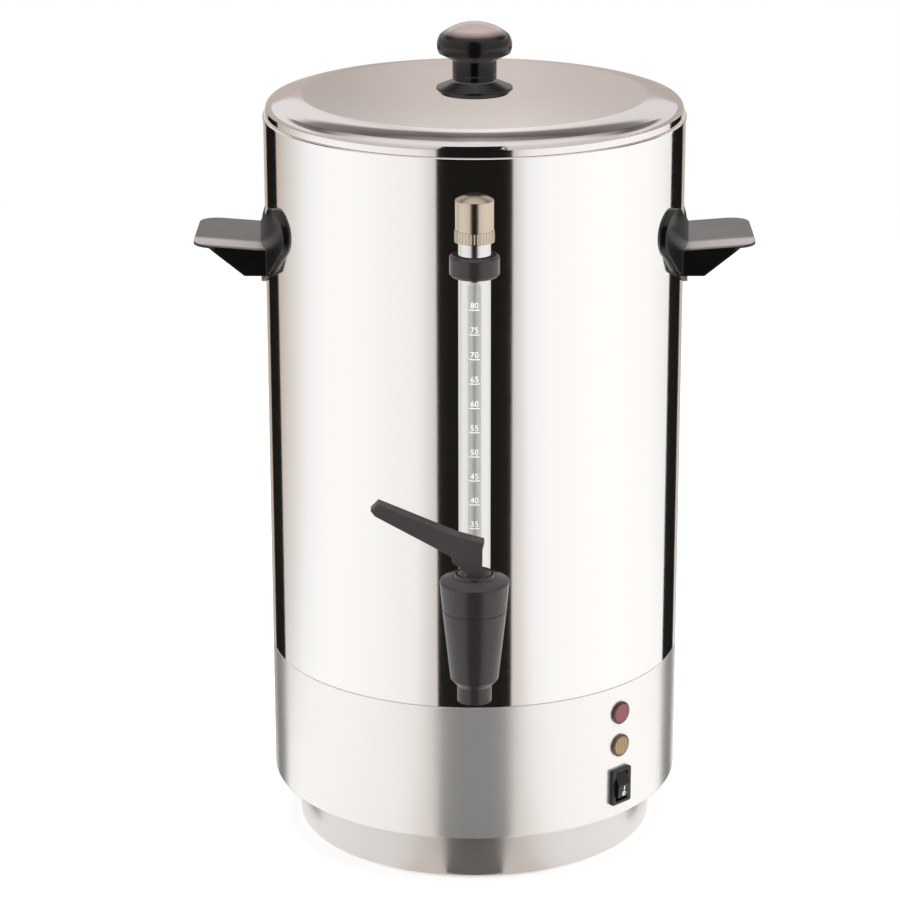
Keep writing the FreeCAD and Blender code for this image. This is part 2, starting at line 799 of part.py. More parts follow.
tabs = []
cover_screws = []
for reach, turn in tabs_at:
    upright = box("TabUpright", "tab_sheet", "tab_width", "tab_height",
                  (f"{reach} + (tab_depth - tab_sheet) / 2", "0", f"{COVER_HIGH} + seat_gap"))
    shelf = box("TabShelf", "tab_depth", "tab_width", "tab_sheet",
                (reach, "0", f"{COVER_HIGH} + seat_gap"))
    way = cylinder("TabWay", "cover_screw_radius + thread_fit", "tab_sheet",
                   (tab_screw_at, "0", f"{COVER_HIGH} + seat_gap"))
    tabs.append(turned("Tab", cut("TabCut", fuse("TabBent", upright, shelf), way), turn))
    shank = cylinder("CoverScrewShank", "cover_screw_radius", "cover_screw_length + seat_gap",
                     (tab_screw_at, "0", f"{COVER_LOW} - seat_gap"))
    head = cylinder("CoverScrewHead", "cover_screw_head", "cover_screw_head_height",
                    (tab_screw_at, "0", f"{COVER_LOW} - seat_gap - cover_screw_head_height"))
    slot = box("CoverScrewSlot", "cover_screw_head * 2", "tab_sheet / 2", "cover_screw_head_height / 2",
               (tab_screw_at, "0", f"{COVER_LOW} - seat_gap - cover_screw_head_height"))
    cover_screws.append(turned("CoverScrew", cut("CoverScrewCut", fuse("CoverScrewSolid", shank, head),
                                                 slot), turn))
node("cover_tabs", group("CoverTabs", tabs))
node("cover_screws", group("CoverScrews", cover_screws))

# Front panel: drawn facing -Y, then turned about the centre line

panel_back = f"(-sqrt({BAND_INNER} ^ 2 - lamp_clip_radius ^ 2) + panel_back_gap)"
lamp_backs = []
lamp_clips = []
band_ways = []
for label, height in (("red_lens", "red_height"), ("amber_lens", "amber_height")):
    lens = revolved(label.title().replace("_", ""), [
        ("0", "0"),
        ("lamp_body_radius", "0"),
        ("lamp_body_radius", "lens_depth - lens_rim"),
        ("lens_radius", "lens_depth - lens_rim"),
        ("lens_radius", "lens_depth - lens_rim / 3"),
        ("lens_face_radius", "lens_depth"),
        ("0", "lens_depth"),
    ])
    lens.Placement = FreeCAD.Placement(FreeCAD.Vector(), FreeCAD.Rotation(FreeCAD.Vector(1, 0, 0), 90))
    place(lens, ("0", "-tank_radius - seat_gap + lens_depth - lens_rim", height))
    node(label, turned(label + "_turned", lens, "panel_azimuth"))
    body_at = "(-tank_radius - seat_gap + lens_depth - lens_rim + seat_gap)"
    lamp_backs.append(cylinder("LampBack", "lamp_body_radius", "lamp_body_depth", ("0", body_at, height),
                               ALONG_Y))
    for spread in (-1, 1):
        lamp_backs.append(box("LampBlade", "blade_sheet", "blade_length * 2", "blade_width / 2",
                              (f"{spread} * lamp_body_radius / 2", f"{body_at} + lamp_body_depth",
                               f"{height} - blade_width / 4")))
    clip_disc = cylinder("ClipDisc", "lamp_clip_radius", "lamp_clip_thickness", ("0", panel_back, height),
                         ALONG_Y)
    clip_way = cylinder("ClipWay", "lamp_body_radius + axle_fit", "lamp_clip_thickness",
                        ("0", panel_back, height), ALONG_Y)
    lamp_clips.append(cut("Clip", clip_disc, clip_way))
    band_ways.append(cylinder("LampWay", "lamp_body_radius + cutout_fit", "way_depth",
                              ("0", "-tank_radius - way_depth / 2", height), ALONG_Y))
node("lamp_bodies", turned("LampBodies", group("LampParts", [fuse("LampSolids", *lamp_backs)]),
                           "panel_azimuth"))
node("lamp_clips", turned("LampClips", group("ClipParts", lamp_clips), "panel_azimuth"))

# Rocker switch: housing with a window, a rocker on an axle, blades behind

bezel_back = "(-tank_radius - seat_gap)"
bezel_face = "(-tank_radius - seat_gap - bezel_thickness)"
pivot_y = "(-tank_radius + rocker_pivot)"
bezel = padded("Bezel", "XZ_Plane", [
    ("-bezel_width / 2", "switch_height - bezel_height / 2"),
    ("bezel_width / 2", "switch_height - bezel_height / 2"),
    ("bezel_width / 2", "switch_height + bezel_height / 2"),
    ("-bezel_width / 2", "switch_height + bezel_height / 2"),
], "bezel_thickness", ("0", f"{bezel_back} - bezel_thickness / 2", "0"))
rounded(bezel, "bezel_round", runs_along_y)
housing_back = box("HousingBack", "switch_body_width", "switch_body_depth + bezel_thickness",
                   "switch_body_height",
                   ("0",
                    f"{bezel_face} + bezel_thickness / 2 + (switch_body_depth + bezel_thickness) / 2",
                    "switch_height - switch_body_height / 2"))
window = box("Window", "window_width", "window_depth", "window_height",
             ("0", f"{bezel_face} + window_depth / 2", "switch_height - window_height / 2"))
axle_way = cylinder("AxleWay", "axle_radius + axle_fit", "window_width + axle_bite * 2",
                    ("-window_width / 2 - axle_bite", pivot_y, "switch_height"), ALONG_X)
housing = cut("Housing", fuse("HousingSolid", bezel, housing_back), window, axle_way)
node("switch_housing", turned("SwitchHousing", housing, "panel_azimuth"))

lean_cosine = "(cos(rocker_tilt / 2))"
lean_sine = "(sin(rocker_tilt / 2))"
rocker_solid = padded("RockerBlock", "YZ_Plane", [
    (f"-rocker_reach * {lean_cosine}", f"rocker_reach * {lean_sine}"),
    (f"-rocker_shoulder * {lean_cosine} - rocker_half * {lean_sine}",
     f"rocker_shoulder * {lean_sine} - rocker_half * {lean_cosine}"),
    ("rocker_pivot / 2", "-rocker_half + rocker_pivot / 2"),
    ("rocker_pivot / 2", "rocker_half - rocker_pivot / 2"),
    (f"-rocker_shoulder * {lean_cosine} + rocker_half * {lean_sine}",
     f"rocker_shoulder * {lean_sine} + rocker_half * {lean_cosine}"),
], "rocker_width", ("0", pivot_y, "switch_height"))
axle = cylinder("Axle", "axle_radius", "window_width + axle_bite * 2 - axle_fit * 2",
                ("-window_width / 2 - axle_bite + axle_fit", pivot_y, "switch_height"), ALONG_X)
node("switch_rocker", turned("SwitchRocker", fuse("Rocker", rocker_solid, axle), "panel_azimuth"))

switch_back = f"({bezel_face} + bezel_thickness / 2 + switch_body_depth + bezel_thickness)"
switch_blades = []
for drop in (-1, 0, 1):
    switch_blades.append(box("SwitchBlade", "blade_width", "blade_length", "blade_sheet",
                             ("0", f"{switch_back} + seat_gap + blade_length / 2",
                              f"switch_height + {drop} * switch_body_height / 3 - blade_sheet / 2")))
node("switch_blades", turned("SwitchBlades", group("BladeSet", switch_blades), "panel_azimuth"))
switch_way = box("SwitchWay", "switch_body_width + cutout_fit", "way_depth",
                 "switch_body_height + cutout_fit",
                 ("0", "-tank_radius", "switch_height - (switch_body_height + cutout_fit) / 2"))

# Appliance inlet at the back, with its pins and screws

inlet_face = "(tank_radius + inlet_flange_thickness)"
inlet_back = "(tank_radius + inlet_flange_thickness - inlet_body_depth)"
flange_plate = box("InletFlange", "inlet_flange_width", "inlet_flange_thickness + curve_allowance",
                   "inlet_flange_height",
                   ("0", f"{inlet_face} - (inlet_flange_thickness + curve_allowance) / 2",
                    "inlet_height - inlet_flange_height / 2"))
band_form = cylinder("BandForm", "tank_radius + seat_gap", "seam_height", ("0", "0", "0"))
inlet_shell = box("InletShell", "inlet_body_width", "inlet_body_depth", "inlet_body_height",
                  ("0", f"({inlet_face} + {inlet_back}) / 2", "inlet_height - inlet_body_height / 2"))
inlet_hollow = box("InletHollow", "inlet_body_width - inlet_wall * 2", "inlet_body_depth",
                   "inlet_body_height - inlet_wall * 2",
                   ("0", f"({inlet_face} + {inlet_back}) / 2 + inlet_floor",
                    "inlet_height - inlet_body_height / 2 + inlet_wall"))
inlet_tools = [inlet_hollow]
inlet_pins = []
inlet_screws = []
for across, up in ((-1, -1), (1, -1), (0, 1)):
    pin_at = (f"{across} * inlet_blade_pitch / 2", f"inlet_height + {up} * inlet_blade_width")
    inlet_tools.append(box("PinWay", "inlet_blade_sheet + axle_fit * 2", "inlet_floor * 2",
                           "inlet_blade_width + axle_fit * 2",
                           (pin_at[0], inlet_back, f"{pin_at[1]} - inlet_blade_width / 2 - axle_fit")))
    inlet_pins.append(box("InletPin", "inlet_blade_sheet", "inlet_blade_length + inlet_tail_length",
                          "inlet_blade_width",
                          (pin_at[0], f"{inlet_back} + (inlet_blade_length - inlet_tail_length) / 2",
                           f"{pin_at[1]} - inlet_blade_width / 2")))
for up in (-1, 1):
    screw_z = f"inlet_height + {up} * inlet_screw_pitch / 2"
    inlet_tools.append(cylinder("InletScrewWay", "inlet_screw_radius + screw_clearance",
                                "inlet_body_depth * 2",
                                ("0", f"{inlet_face} - inlet_body_depth", screw_z), ALONG_Y))
    shank = cylinder("InletScrewShank", "inlet_screw_radius", "inlet_screw_length + seat_gap",
                     ("0", f"{inlet_face} - inlet_screw_length", screw_z), ALONG_Y)
    head = cylinder("InletScrewHead", "inlet_screw_head", "inlet_screw_head_height",
                    ("0", f"{inlet_face} + seat_gap", screw_z), ALONG_Y)
    slot = box("InletScrewSlot", "inlet_screw_head * 2", "inlet_screw_head_height", "blade_sheet",
               ("0", f"{inlet_face} + seat_gap + inlet_screw_head_height",
                f"{screw_z} - blade_sheet / 2"))
    inlet_screws.append(cut("InletScrew", fuse("InletScrewSolid", shank, head), slot))
    band_ways.append(cylinder("InletScrewHole", "inlet_screw_radius + screw_clearance", "way_depth",
                              ("0", "tank_radius - way_depth / 2", screw_z), ALONG_Y))
curved_flange = cut("InletCurved", flange_plate, band_form)
node("inlet_body", cut("InletBody", fuse("InletSolid", curved_flange, inlet_shell), *inlet_tools))
node("inlet_pins", group("InletPins", inlet_pins))
node("inlet_screws", group("InletScrews", inlet_screws))
inlet_way = box("InletWay", "inlet_body_width + cutout_fit", "way_depth",
                "inlet_body_height + cutout_fit",
                ("0", "tank_radius", "inlet_height - (inlet_body_height + cutout_fit) / 2"))
band_cut = cut("BaseBand", band, turned("PanelWays", fuse("PanelWaySet", switch_way, *band_ways[:2]),
                                        "panel_azimuth"),
               fuse("InletWays", inlet_way, *band_ways[2:]))
node("base_band", band_cut)

# Wiring rail across the base, with the terminal block and the earth stud

rail_bottom = "(step_height + base_sheet + seat_gap)"
rail_reach = f"sqrt(({BAND_INNER} - rail_gap) ^ 2 - ({RAIL_BACK} + rail_width / 2) ^ 2)"
rail = box("Rail", f"{rail_reach} * 2", "rail_width", "rail_sheet", ("0", RAIL_BACK, rail_bottom))
earth_way = cylinder("EarthWay", "earth_radius + screw_clearance", "rail_sheet",
                     ("earth_x", RAIL_BACK, rail_bottom))
node("wiring_rail", cut("WiringRail", rail, earth_way))

block_bottom = f"({rail_bottom} + rail_sheet + seat_gap)"
block = box("Block", "block_length", "block_width", "block_height", ("0", RAIL_BACK, block_bottom))
block_ways = []
for way in range(int(value("block_ways"))):
    way_x = f"({way} - (block_ways - 1) / 2) * block_length / block_ways"
    block_ways.append(cylinder("WireWay", "wire_way_radius", "block_width",
                               (way_x, f"{RAIL_BACK} - block_width / 2",
                                f"{block_bottom} + block_height / 3"), ALONG_Y))
    block_ways.append(cylinder("ScrewWell", "screw_well_radius", "block_height / 2",
                               (way_x, RAIL_BACK, f"{block_bottom} + block_height / 2")))
node("terminal_block", cut("TerminalBlock", block, fuse("BlockWays", *block_ways)))

earth_shank = cylinder("EarthShank", "earth_radius", "earth_length + rail_sheet + seat_gap",
                       ("earth_x", RAIL_BACK, rail_bottom))
earth_nut = hexagon("EarthNut", "earth_flats", "earth_nut_height",
                    ("earth_x", RAIL_BACK, f"{rail_bottom} + rail_sheet + seat_gap"))
node("earth_stud", fuse("EarthStud", earth_shank, earth_nut))

# Tap body: a turned chamber with a shank to the tank and a socket for the gauge

tap_outer = revolved("TapOuter", [
    ("0", NOZZLE_BOTTOM),
    ("nozzle_radius", NOZZLE_BOTTOM),
    ("nozzle_radius", f"{NOZZLE_BOTTOM} + nozzle_length"),
    ("waist_radius", "shank_height - waist_drop"),
    ("groove_radius", GROOVE_LEVEL),
    ("tap_neck_radius", GROOVE_LEVEL),
    ("tap_neck_radius", NECK_TOP),
    ("0", NECK_TOP),
], ("0", TAP_Y, "0"))
tap_inner = revolved("TapInner", [
    ("0", NOZZLE_BOTTOM),
    ("nozzle_bore", NOZZLE_BOTTOM),
    ("nozzle_bore", SEAT_TOP),
    ("chamber_radius", "shank_height - chamber_drop"),
    ("chamber_radius", NECK_TOP),
    ("0", NECK_TOP),
], ("0", TAP_Y, "0"))
shank_depth = "(tap_reach + shank_thread_length)"
shank_thread = cylinder("ShankThread", "shank_thread_radius", shank_depth, ("0", TAP_Y, "shank_height"),
                        ALONG_Y)
shank_tube = cylinder("ShankTube", "shank_radius", "tap_reach - washer_thickness - seat_gap * 2",
                      ("0", TAP_Y, "shank_height"), ALONG_Y)
shoulder = cylinder("Shoulder", "shoulder_radius", "shoulder_thickness",
                    ("0", "-tank_radius - washer_thickness - seat_gap * 2 - shoulder_thickness",
                     "shank_height"), ALONG_Y)
socket = cylinder("Socket", "socket_radius", "socket_rise", ("0", GAUGE_Y, "shank_height"))
shank_way_inner = cylinder("ShankBore", "shank_bore", shank_depth, ("0", TAP_Y, "shank_height"), ALONG_Y)
socket_bore = cylinder("SocketBore", "guard_radius + guard_fit", "socket_depth",
                       ("0", GAUGE_Y, SOCKET_FLOOR))
water_way = cylinder("WaterWay", "water_way", "socket_rise", ("0", GAUGE_Y, "shank_height"))
tap_solid = fuse("TapSolid", tap_outer, shank_thread, shank_tube, shoulder, socket)
node("tap_body", cut("TapBody", tap_solid, tap_inner, shank_way_inner, socket_bore, water_way))

# Bonnet over the chamber, with the ring and recess that the lever works in

bonnet_foot = f"({GROOVE_LEVEL} + bonnet_gap * 3)"
bonnet = revolved("BonnetShell", [
    ("tap_neck_radius + bonnet_gap", bonnet_foot),
    ("groove_radius", bonnet_foot),
    ("bonnet_rim_radius", BONNET_RIM),
    ("cone_top_radius", CONE_TOP),
    ("ring_radius", CONE_TOP),
    ("ring_radius", RING_TOP),
    ("ring_bore", RING_TOP),
    ("ring_bore", RECESS_FLOOR),
    ("stem_radius + stem_fit", RECESS_FLOOR),
    ("stem_radius + stem_fit", BONNET_ROOF),
    ("tap_neck_radius + bonnet_gap", BONNET_ROOF),
], ("0", TAP_Y, "0"))
rounded(bonnet, "bonnet_round", ring_edge("bonnet_rim_radius", BONNET_RIM))
rounded(bonnet, "bonnet_round / 3", ring_edge("ring_radius", RING_TOP))
node("tap_bonnet", bonnet)

# Seat cup, stem, cross pin and lever

cup_low = f"({SEAT_TOP} + cup_gap)"
cup_pocket = f"({cup_low} + cup_thickness + cup_hub_height - stem_bite)"
cup = revolved("CupTurned", [
    ("0", cup_low),
    ("seat_radius - cup_gap * 4", cup_low),
    ("cup_radius", f"{cup_low} + cup_gap * 4"),
    ("cup_radius", f"{cup_low} + cup_thickness"),
    ("cup_hub_radius", f"{cup_low} + cup_thickness"),
    ("cup_hub_radius", f"{cup_low} + cup_thickness + cup_hub_height"),
    ("spigot_radius + stem_fit", f"{cup_low} + cup_thickness + cup_hub_height"),
    ("spigot_radius + stem_fit", cup_pocket),
    ("0", cup_pocket),
], ("0", TAP_Y, "0"))
node("seat_cup", cup)

stem_low = f"({cup_pocket} + seat_gap)"
stem_head = f"({PIN_HEIGHT} + tongue_thickness / 2 + cross_pin_radius / 2)"
stem_top = f"({RECESS_FLOOR} - cam_reach * cam_angle * pi / 180 - seat_gap * 3)"
stem_step = f"({cup_low} + cup_thickness + cup_hub_height + seat_gap)"
stem = revolved("StemTurned", [
    ("0", stem_low),
    ("spigot_radius", stem_low),
    ("spigot_radius", stem_step),
    ("stem_radius", stem_step),
    ("stem_radius", stem_top),
    ("0", stem_top),
], ("0", TAP_Y, "0"))
tongue_foot = f"({stem_top} - stem_radius)"
tongue = box("Tongue", "tongue_width", "tongue_thickness", f"{stem_head} - {tongue_foot}",
             ("0", TAP_Y, tongue_foot))
tongue_clip = cylinder("TongueClip", "stem_radius", f"{stem_head} - {tongue_foot}",
                       ("0", TAP_Y, tongue_foot))
pin_way = cylinder("PinWayStem", "cross_pin_radius + cross_pin_fit", "lever_thickness",
                   ("0", f"{TAP_Y} - lever_thickness / 2", PIN_HEIGHT), ALONG_Y)
node("tap_stem", cut("TapStem", fuse("StemSolid", stem, common("TongueRound", tongue, tongue_clip)),
                     pin_way))
node("lever_pin", cylinder("LeverPin", "cross_pin_radius", "lever_thickness - seat_gap * 2",
                           ("0", f"{TAP_Y} - lever_thickness / 2 + seat_gap", PIN_HEIGHT), ALONG_Y))

cam = []
steps = 6
for step in range(steps + 1):
    turn = f"(cam_angle * {step} / {steps})"
    rise = f"(foot_height + cam_reach * {turn} * pi / 180)"
    cam.append((f"-cam_reach * cos({turn}) - {rise} * sin({turn})",
                f"cam_reach * sin({turn}) - {rise} * cos({turn})"))
lever_outline = [
    ("neck_right", "-foot_height"),
    ("neck_right", "neck_rise"),
    ("neck_right + seat_gap", "hub_step"),
    ("hub_back", "hub_top"),
    ("-arm_top_reach", "arm_top_height"),
    ("-tip_top_reach", "tip_top_height"),
    ("-tip_reach", "tip_height"),
    ("-tip_under_reach", "tip_under_height"),
    ("-arm_under_reach", "arm_under_height"),
    ("-heel_reach - seat_gap * 8", "heel_high"),
    ("-heel_reach", "heel_low"),
    ("-neck_left", "neck_rise"),
    ("-neck_left", "cross_pin_radius"),
]
lever = padded("LeverArm", "XZ_Plane", lever_outline + list(reversed(cam)), "lever_thickness",
               ("0", TAP_Y, PIN_HEIGHT))


def lever_edge(edge):
    """Match the lever's long edges that a hand meets, above the bonnet."""
    ends = [vertex.Point for vertex in edge.Vertexes]
    flat = len(ends) == 2 and abs(ends[0].y - ends[1].y) < 1e-6
    return flat and min(point.z for point in ends) > value("heel_low") - 1e-6


rounded(lever, "lever_round", lever_edge)
fork = box("ForkSlot", "fork_width", "fork_slot", "foot_height * 2 + fork_height",
           ("0", TAP_Y, f"{PIN_HEIGHT} - foot_height * 2"))
lever_way = cylinder("LeverPinWay", "cross_pin_radius + cross_pin_fit", "lever_thickness * 2",
                     ("0", f"{TAP_Y} - lever_thickness", PIN_HEIGHT), ALONG_Y)
node("tap_lever", cut("TapLever", lever, fork, lever_way))

# Spring, drawn as separate rings joined by a rod so that it closes onto itself

spring_low = f"({cup_low} + cup_thickness + spring_wire + seat_gap)"
spring_high = f"({BONNET_ROOF} - spring_wire - seat_gap)"
coils = []
for turn in range(int(value("spring_turns"))):
    coil = doc.addObject("Part::Torus", "Coil")
    bind(coil, "Radius1", "spring_radius")
    bind(coil, "Radius2", "spring_wire")
    place(coil, ("0", TAP_Y,
                 f"{spring_low} + ({spring_high} - {spring_low}) * {turn} / (spring_turns - 1)"))
    coils.append(coil)
coils.append(cylinder("CoilJoin", "spring_rod", f"{spring_high} - {spring_low}",
                      ("spring_radius", TAP_Y, spring_low)))
node("tap_spring", fuse("TapSpring", *coils))

# Washers and the nut that hold the tap to the tank wall

washer_depth = "(washer_thickness + washer_curve)"
washer_way = cylinder("WasherWay", "shank_thread_radius + axle_fit", "way_depth",
                      ("0", "-tank_radius - way_depth / 2", "shank_height"), ALONG_Y)
outer_disc = cylinder("OuterDisc", "washer_radius", washer_depth,
                      ("0", "-tank_radius - washer_thickness - seat_gap", "shank_height"), ALONG_Y)
outer_form = cylinder("OuterForm", "tank_radius + seat_gap", "rim_top", ("0", "0", "0"))
node("tap_washer_outer", cut("WasherOuter", outer_disc, outer_form, washer_way))
inner_disc = cylinder("InnerDisc", "washer_radius", washer_depth, ("0", f"-{TANK_INNER}", "shank_height"),
                      ALONG_Y)
inner_form = cylinder("InnerForm", f"{TANK_INNER} - seat_gap", "rim_top", ("0", "0", "0"))
node("tap_washer_inner", cut("WasherInner", common("WasherCurved", inner_disc, inner_form), washer_way))
nut_at = f"(-{TANK_INNER} + {washer_depth} + seat_gap)"
shank_nut_body = hexagon("ShankNutBody", "shank_nut_flats", "shank_nut_height",
                         ("0", nut_at, "shank_height"), ALONG_Y)
shank_nut_way = cylinder("ShankNutWay", "shank_thread_radius + thread_fit", "shank_nut_height",
                         ("0", nut_at, "shank_height"), ALONG_Y)
node("shank_nut", cut("ShankNut", shank_nut_body, shank_nut_way))

# Sight gauge: slotted guard tube, glass, seals, cap and the collar on the tank

guard_inner = "(guard_radius - guard_sheet)"
guard_outer = cylinder("GuardOuter", "guard_radius", f"guard_top - {GUARD_BOTTOM}",
                       ("0", GAUGE_Y, GUARD_BOTTOM))
guard_hollow = cylinder("GuardHollow", guard_inner, f"guard_top - {GUARD_BOTTOM}",
                        ("0", GAUGE_Y, GUARD_BOTTOM))
slot_box = box("GuardSlot", "slot_width", "guard_radius * 2",
               f"slot_top - slot_width / 2 - {SLOT_BOTTOM}",
               ("0", f"{GAUGE_Y} - guard_radius", SLOT_BOTTOM))
slot_end = cylinder("GuardSlotEnd", "slot_width / 2", "guard_radius * 2",
                    ("0", f"{GAUGE_Y} - guard_radius * 2", "slot_top - slot_width / 2"), ALONG_Y)
node("gauge_guard", cut("GaugeGuard", guard_outer, guard_hollow, slot_box, slot_end))

glass_outer = cylinder("GlassOuter", "glass_radius", f"glass_top - {GLASS_BOTTOM}",
                       ("0", GAUGE_Y, GLASS_BOTTOM))
glass_inner = cylinder("GlassInner", "glass_radius - glass_wall", f"glass_top - {GLASS_BOTTOM}",
                       ("0", GAUGE_Y, GLASS_BOTTOM))
node("gauge_glass", cut("GaugeGlass", glass_outer, glass_inner))

lower_seal = revolved("LowerSeal", [
    ("water_way", f"{SOCKET_FLOOR} + glass_fit"),
    ("guard_radius", f"{SOCKET_FLOOR} + glass_fit"),
    ("guard_radius", f"{SOCKET_FLOOR} + lower_seal_height"),
    ("glass_radius + glass_fit", f"{SOCKET_FLOOR} + lower_seal_height"),
    ("glass_radius + glass_fit", f"{GLASS_BOTTOM} - glass_fit"),
    ("water_way", f"{GLASS_BOTTOM} - glass_fit"),
], ("0", GAUGE_Y, "0"))
node("gauge_lower_seal", lower_seal)
upper_seal = revolved("UpperSeal", [
    ("glass_radius + glass_fit", "upper_seal_top - upper_seal_height"),
    (f"{guard_inner} - glass_fit", "upper_seal_top - upper_seal_height"),
    (f"{guard_inner} - glass_fit", "upper_seal_top"),
    ("glass_radius + glass_fit", "upper_seal_top"),
], ("0", GAUGE_Y, "0"))
node("gauge_upper_seal", upper_seal)

dome_rise = "(cap_top - cap_shoulder)"
cap = revolved("CapTurned", [
    ("guard_radius + guard_fit", "cap_bottom"),
    ("cap_knurl_radius", "cap_bottom"),
    ("cap_knurl_radius", "cap_knurl_top"),
    ("cap_radius", "cap_knurl_top"),
    ("cap_radius", "cap_shoulder"),
    ("0", "cap_top", f"(cap_radius ^ 2 + {dome_rise} ^ 2) / (2 * {dome_rise})"),
    ("0", "cap_top - cap_roof"),
    ("guard_radius + guard_fit", "cap_top - cap_roof"),
], ("0", GAUGE_Y, "0"))
rounded(cap, "band_round / 2", ring_edge("cap_radius", "cap_shoulder"))
knurls = []
for number in range(int(value("knurl_count"))):
    around = f"360 * {number} / knurl_count"
    knurls.append(cylinder("Knurl", "knurl_depth", "cap_knurl_top - cap_bottom - knurl_depth * 2",
                           (f"cap_knurl_radius * cos({around})",
                            f"{GAUGE_Y} + cap_knurl_radius * sin({around})",
                            "cap_bottom + knurl_depth")))
node("gauge_cap", cut("GaugeCap", cap, group("Knurls", knurls)))

collar_ring = revolved("CollarRing", [
    ("guard_radius + glass_fit", "clamp_bottom"),
    ("clamp_radius - clamp_chamfer", "clamp_bottom"),
    ("clamp_radius", "clamp_bottom + clamp_chamfer"),
    ("clamp_radius", "clamp_top - clamp_chamfer"),
    ("clamp_radius - clamp_chamfer", "clamp_top"),
    ("guard_radius + glass_fit", "clamp_top"),
], ("0", GAUGE_Y, "0"))
collar_foot = box("CollarFoot", "clamp_foot_width", "gauge_standoff - guard_radius",
                  "clamp_top - clamp_bottom - clamp_chamfer * 2",
                  ("0", "-tank_radius - (gauge_standoff - guard_radius) / 2",
                   "clamp_bottom + clamp_chamfer"))
tank_form = cylinder("TankForm", "tank_radius + seat_gap", "rim_top", ("0", "0", "0"))
collar_screw_at = "((clamp_bottom + clamp_top) / 2)"
collar_way = cylinder("CollarScrewWay", "gauge_screw_radius + thread_fit", "gauge_screw_bite + seat_gap",
                      ("0", "-tank_radius - gauge_screw_bite - seat_gap", collar_screw_at), ALONG_Y)
collar_clear = cylinder("CollarClear", "guard_radius + glass_fit", "rim_top", ("0", GAUGE_Y, "0"))
node("gauge_collar", cut("GaugeCollar", fuse("CollarSolid", collar_ring, collar_foot), tank_form,
                         collar_clear, collar_way))
screw_seat = f"(-sqrt({TANK_INNER} ^ 2 - gauge_screw_head ^ 2) + seat_gap)"
node("gauge_screw", fuse("GaugeScrew",
                         cylinder("GaugeScrewShank", "gauge_screw_radius",
                                  f"tank_radius + gauge_screw_bite + {screw_seat}",
                                  ("0", "-tank_radius - gauge_screw_bite", collar_screw_at), ALONG_Y),
                         cylinder("GaugeScrewHead", "gauge_screw_head", "gauge_screw_head_height",
                                  ("0", screw_seat, collar_screw_at), ALONG_Y)))

# Lid shell with a soft shoulder, a hemmed edge and a locating collar

shoulder_z = "(lid_top - lid_shoulder_drop)"
slope_sine = "(sin(lid_shoulder_slope))"
slope_cosine = "(cos(lid_shoulder_slope))"
lid = revolved("LidShell", [
    (LID_COLLAR, LID_SEAT),
    (LID_RADIUS, LID_SEAT),
    (LID_RADIUS, f"{LID_SEAT} + lid_side"),
    (LID_SHOULDER, shoulder_z, "lid_edge_round"),
    (LID_CROWN, "lid_top", "lid_crown_round"),
    ("knob_hole", "lid_top"),
    ("knob_hole", LID_UNDER),
    (LID_CROWN, LID_UNDER),
    (f"{LID_SHOULDER} - lid_sheet * {slope_sine}", f"{shoulder_z} - lid_sheet * {slope_cosine}",
     "-(lid_crown_round - lid_sheet)"),
    (f"{LID_COLLAR} - lid_sheet", f"{LID_SEAT} + lid_side"),
    (f"{LID_COLLAR} - lid_sheet", f"{LID_SEAT} - lid_collar_depth"),
    (LID_COLLAR, f"{LID_SEAT} - lid_collar_depth"),
])
node("lid_shell", lid)

# Knob and the flange it stands on, held by a screw from under the lid

knob_foot = "(lid_top + glass_fit)"
knob_seam = "(lid_top + knob_neck_top)"
knob_way = "(knob_screw_radius + thread_fit)"
base_outline = [
    (knob_way, knob_foot),
    ("knob_flange_foot", knob_foot),
    ("knob_flange_radius", "lid_top + knob_flange_height"),
    ("knob_flange_radius - seat_gap * 4", "lid_top + knob_flange_shoulder"),
    ("knob_neck_radius + seat_gap", "lid_top + knob_flange_top"),
    ("knob_neck_foot", "lid_top + knob_flange_top"),
    ("knob_neck_foot", "lid_top + knob_flange_top + knob_groove_width"),
    ("knob_neck_radius", "lid_top + knob_flange_top + knob_groove_width"),
    ("knob_neck_radius", "lid_top + knob_groove_height - knob_groove_width / 2"),
    ("knob_neck_radius - knob_groove_depth", "lid_top + knob_groove_height"),
    ("knob_neck_radius", "lid_top + knob_groove_height + knob_groove_width / 2"),
    ("knob_neck_radius", f"{knob_seam} - glass_fit"),
    (knob_way, f"{knob_seam} - glass_fit"),
]
node("knob_base", revolved("KnobBase", base_outline))
knob_dome = "(knob_top - knob_rim_top)"
screw_end = f"({knob_seam} + knob_screw_bite)"
knob = revolved("KnobCap", [
    (knob_way, knob_seam),
    ("knob_under_radius", knob_seam),
    ("knob_rim_bottom_radius", "lid_top + knob_rim_bottom"),
    ("knob_rim_top_radius", "lid_top + knob_rim_top", "knob_side_round"),
    ("0", "lid_top + knob_top", f"(knob_rim_top_radius ^ 2 + {knob_dome} ^ 2) / (2 * {knob_dome})"),
    ("0", f"{screw_end} + seat_gap"),
    (knob_way, f"{screw_end} + seat_gap"),
])
rounded(knob, "band_round", ring_edge("knob_rim_top_radius", "lid_top + knob_rim_top"))
node("lid_knob", knob)
washer_top = f"({LID_UNDER} - glass_fit)"
knob_washer = revolved("KnobWasher", [
    ("knob_screw_radius + screw_clearance", f"{washer_top} - knob_washer_thickness"),
    ("knob_washer_radius", f"{washer_top} - knob_washer_thickness"),
    ("knob_washer_radius", washer_top),
    ("knob_screw_radius + screw_clearance", washer_top),
])
node("knob_washer", knob_washer)
knob_head_top = f"({washer_top} - knob_washer_thickness - glass_fit)"
knob_screw = fuse("KnobScrewSolid",
                  cylinder("KnobScrewShank", "knob_screw_radius", f"{screw_end} - {knob_head_top}",
                           ("0", "0", knob_head_top)),
                  cylinder("KnobScrewHead", "knob_screw_head", "knob_screw_head_height",
                           ("0", "0", f"{knob_head_top} - knob_screw_head_height")))
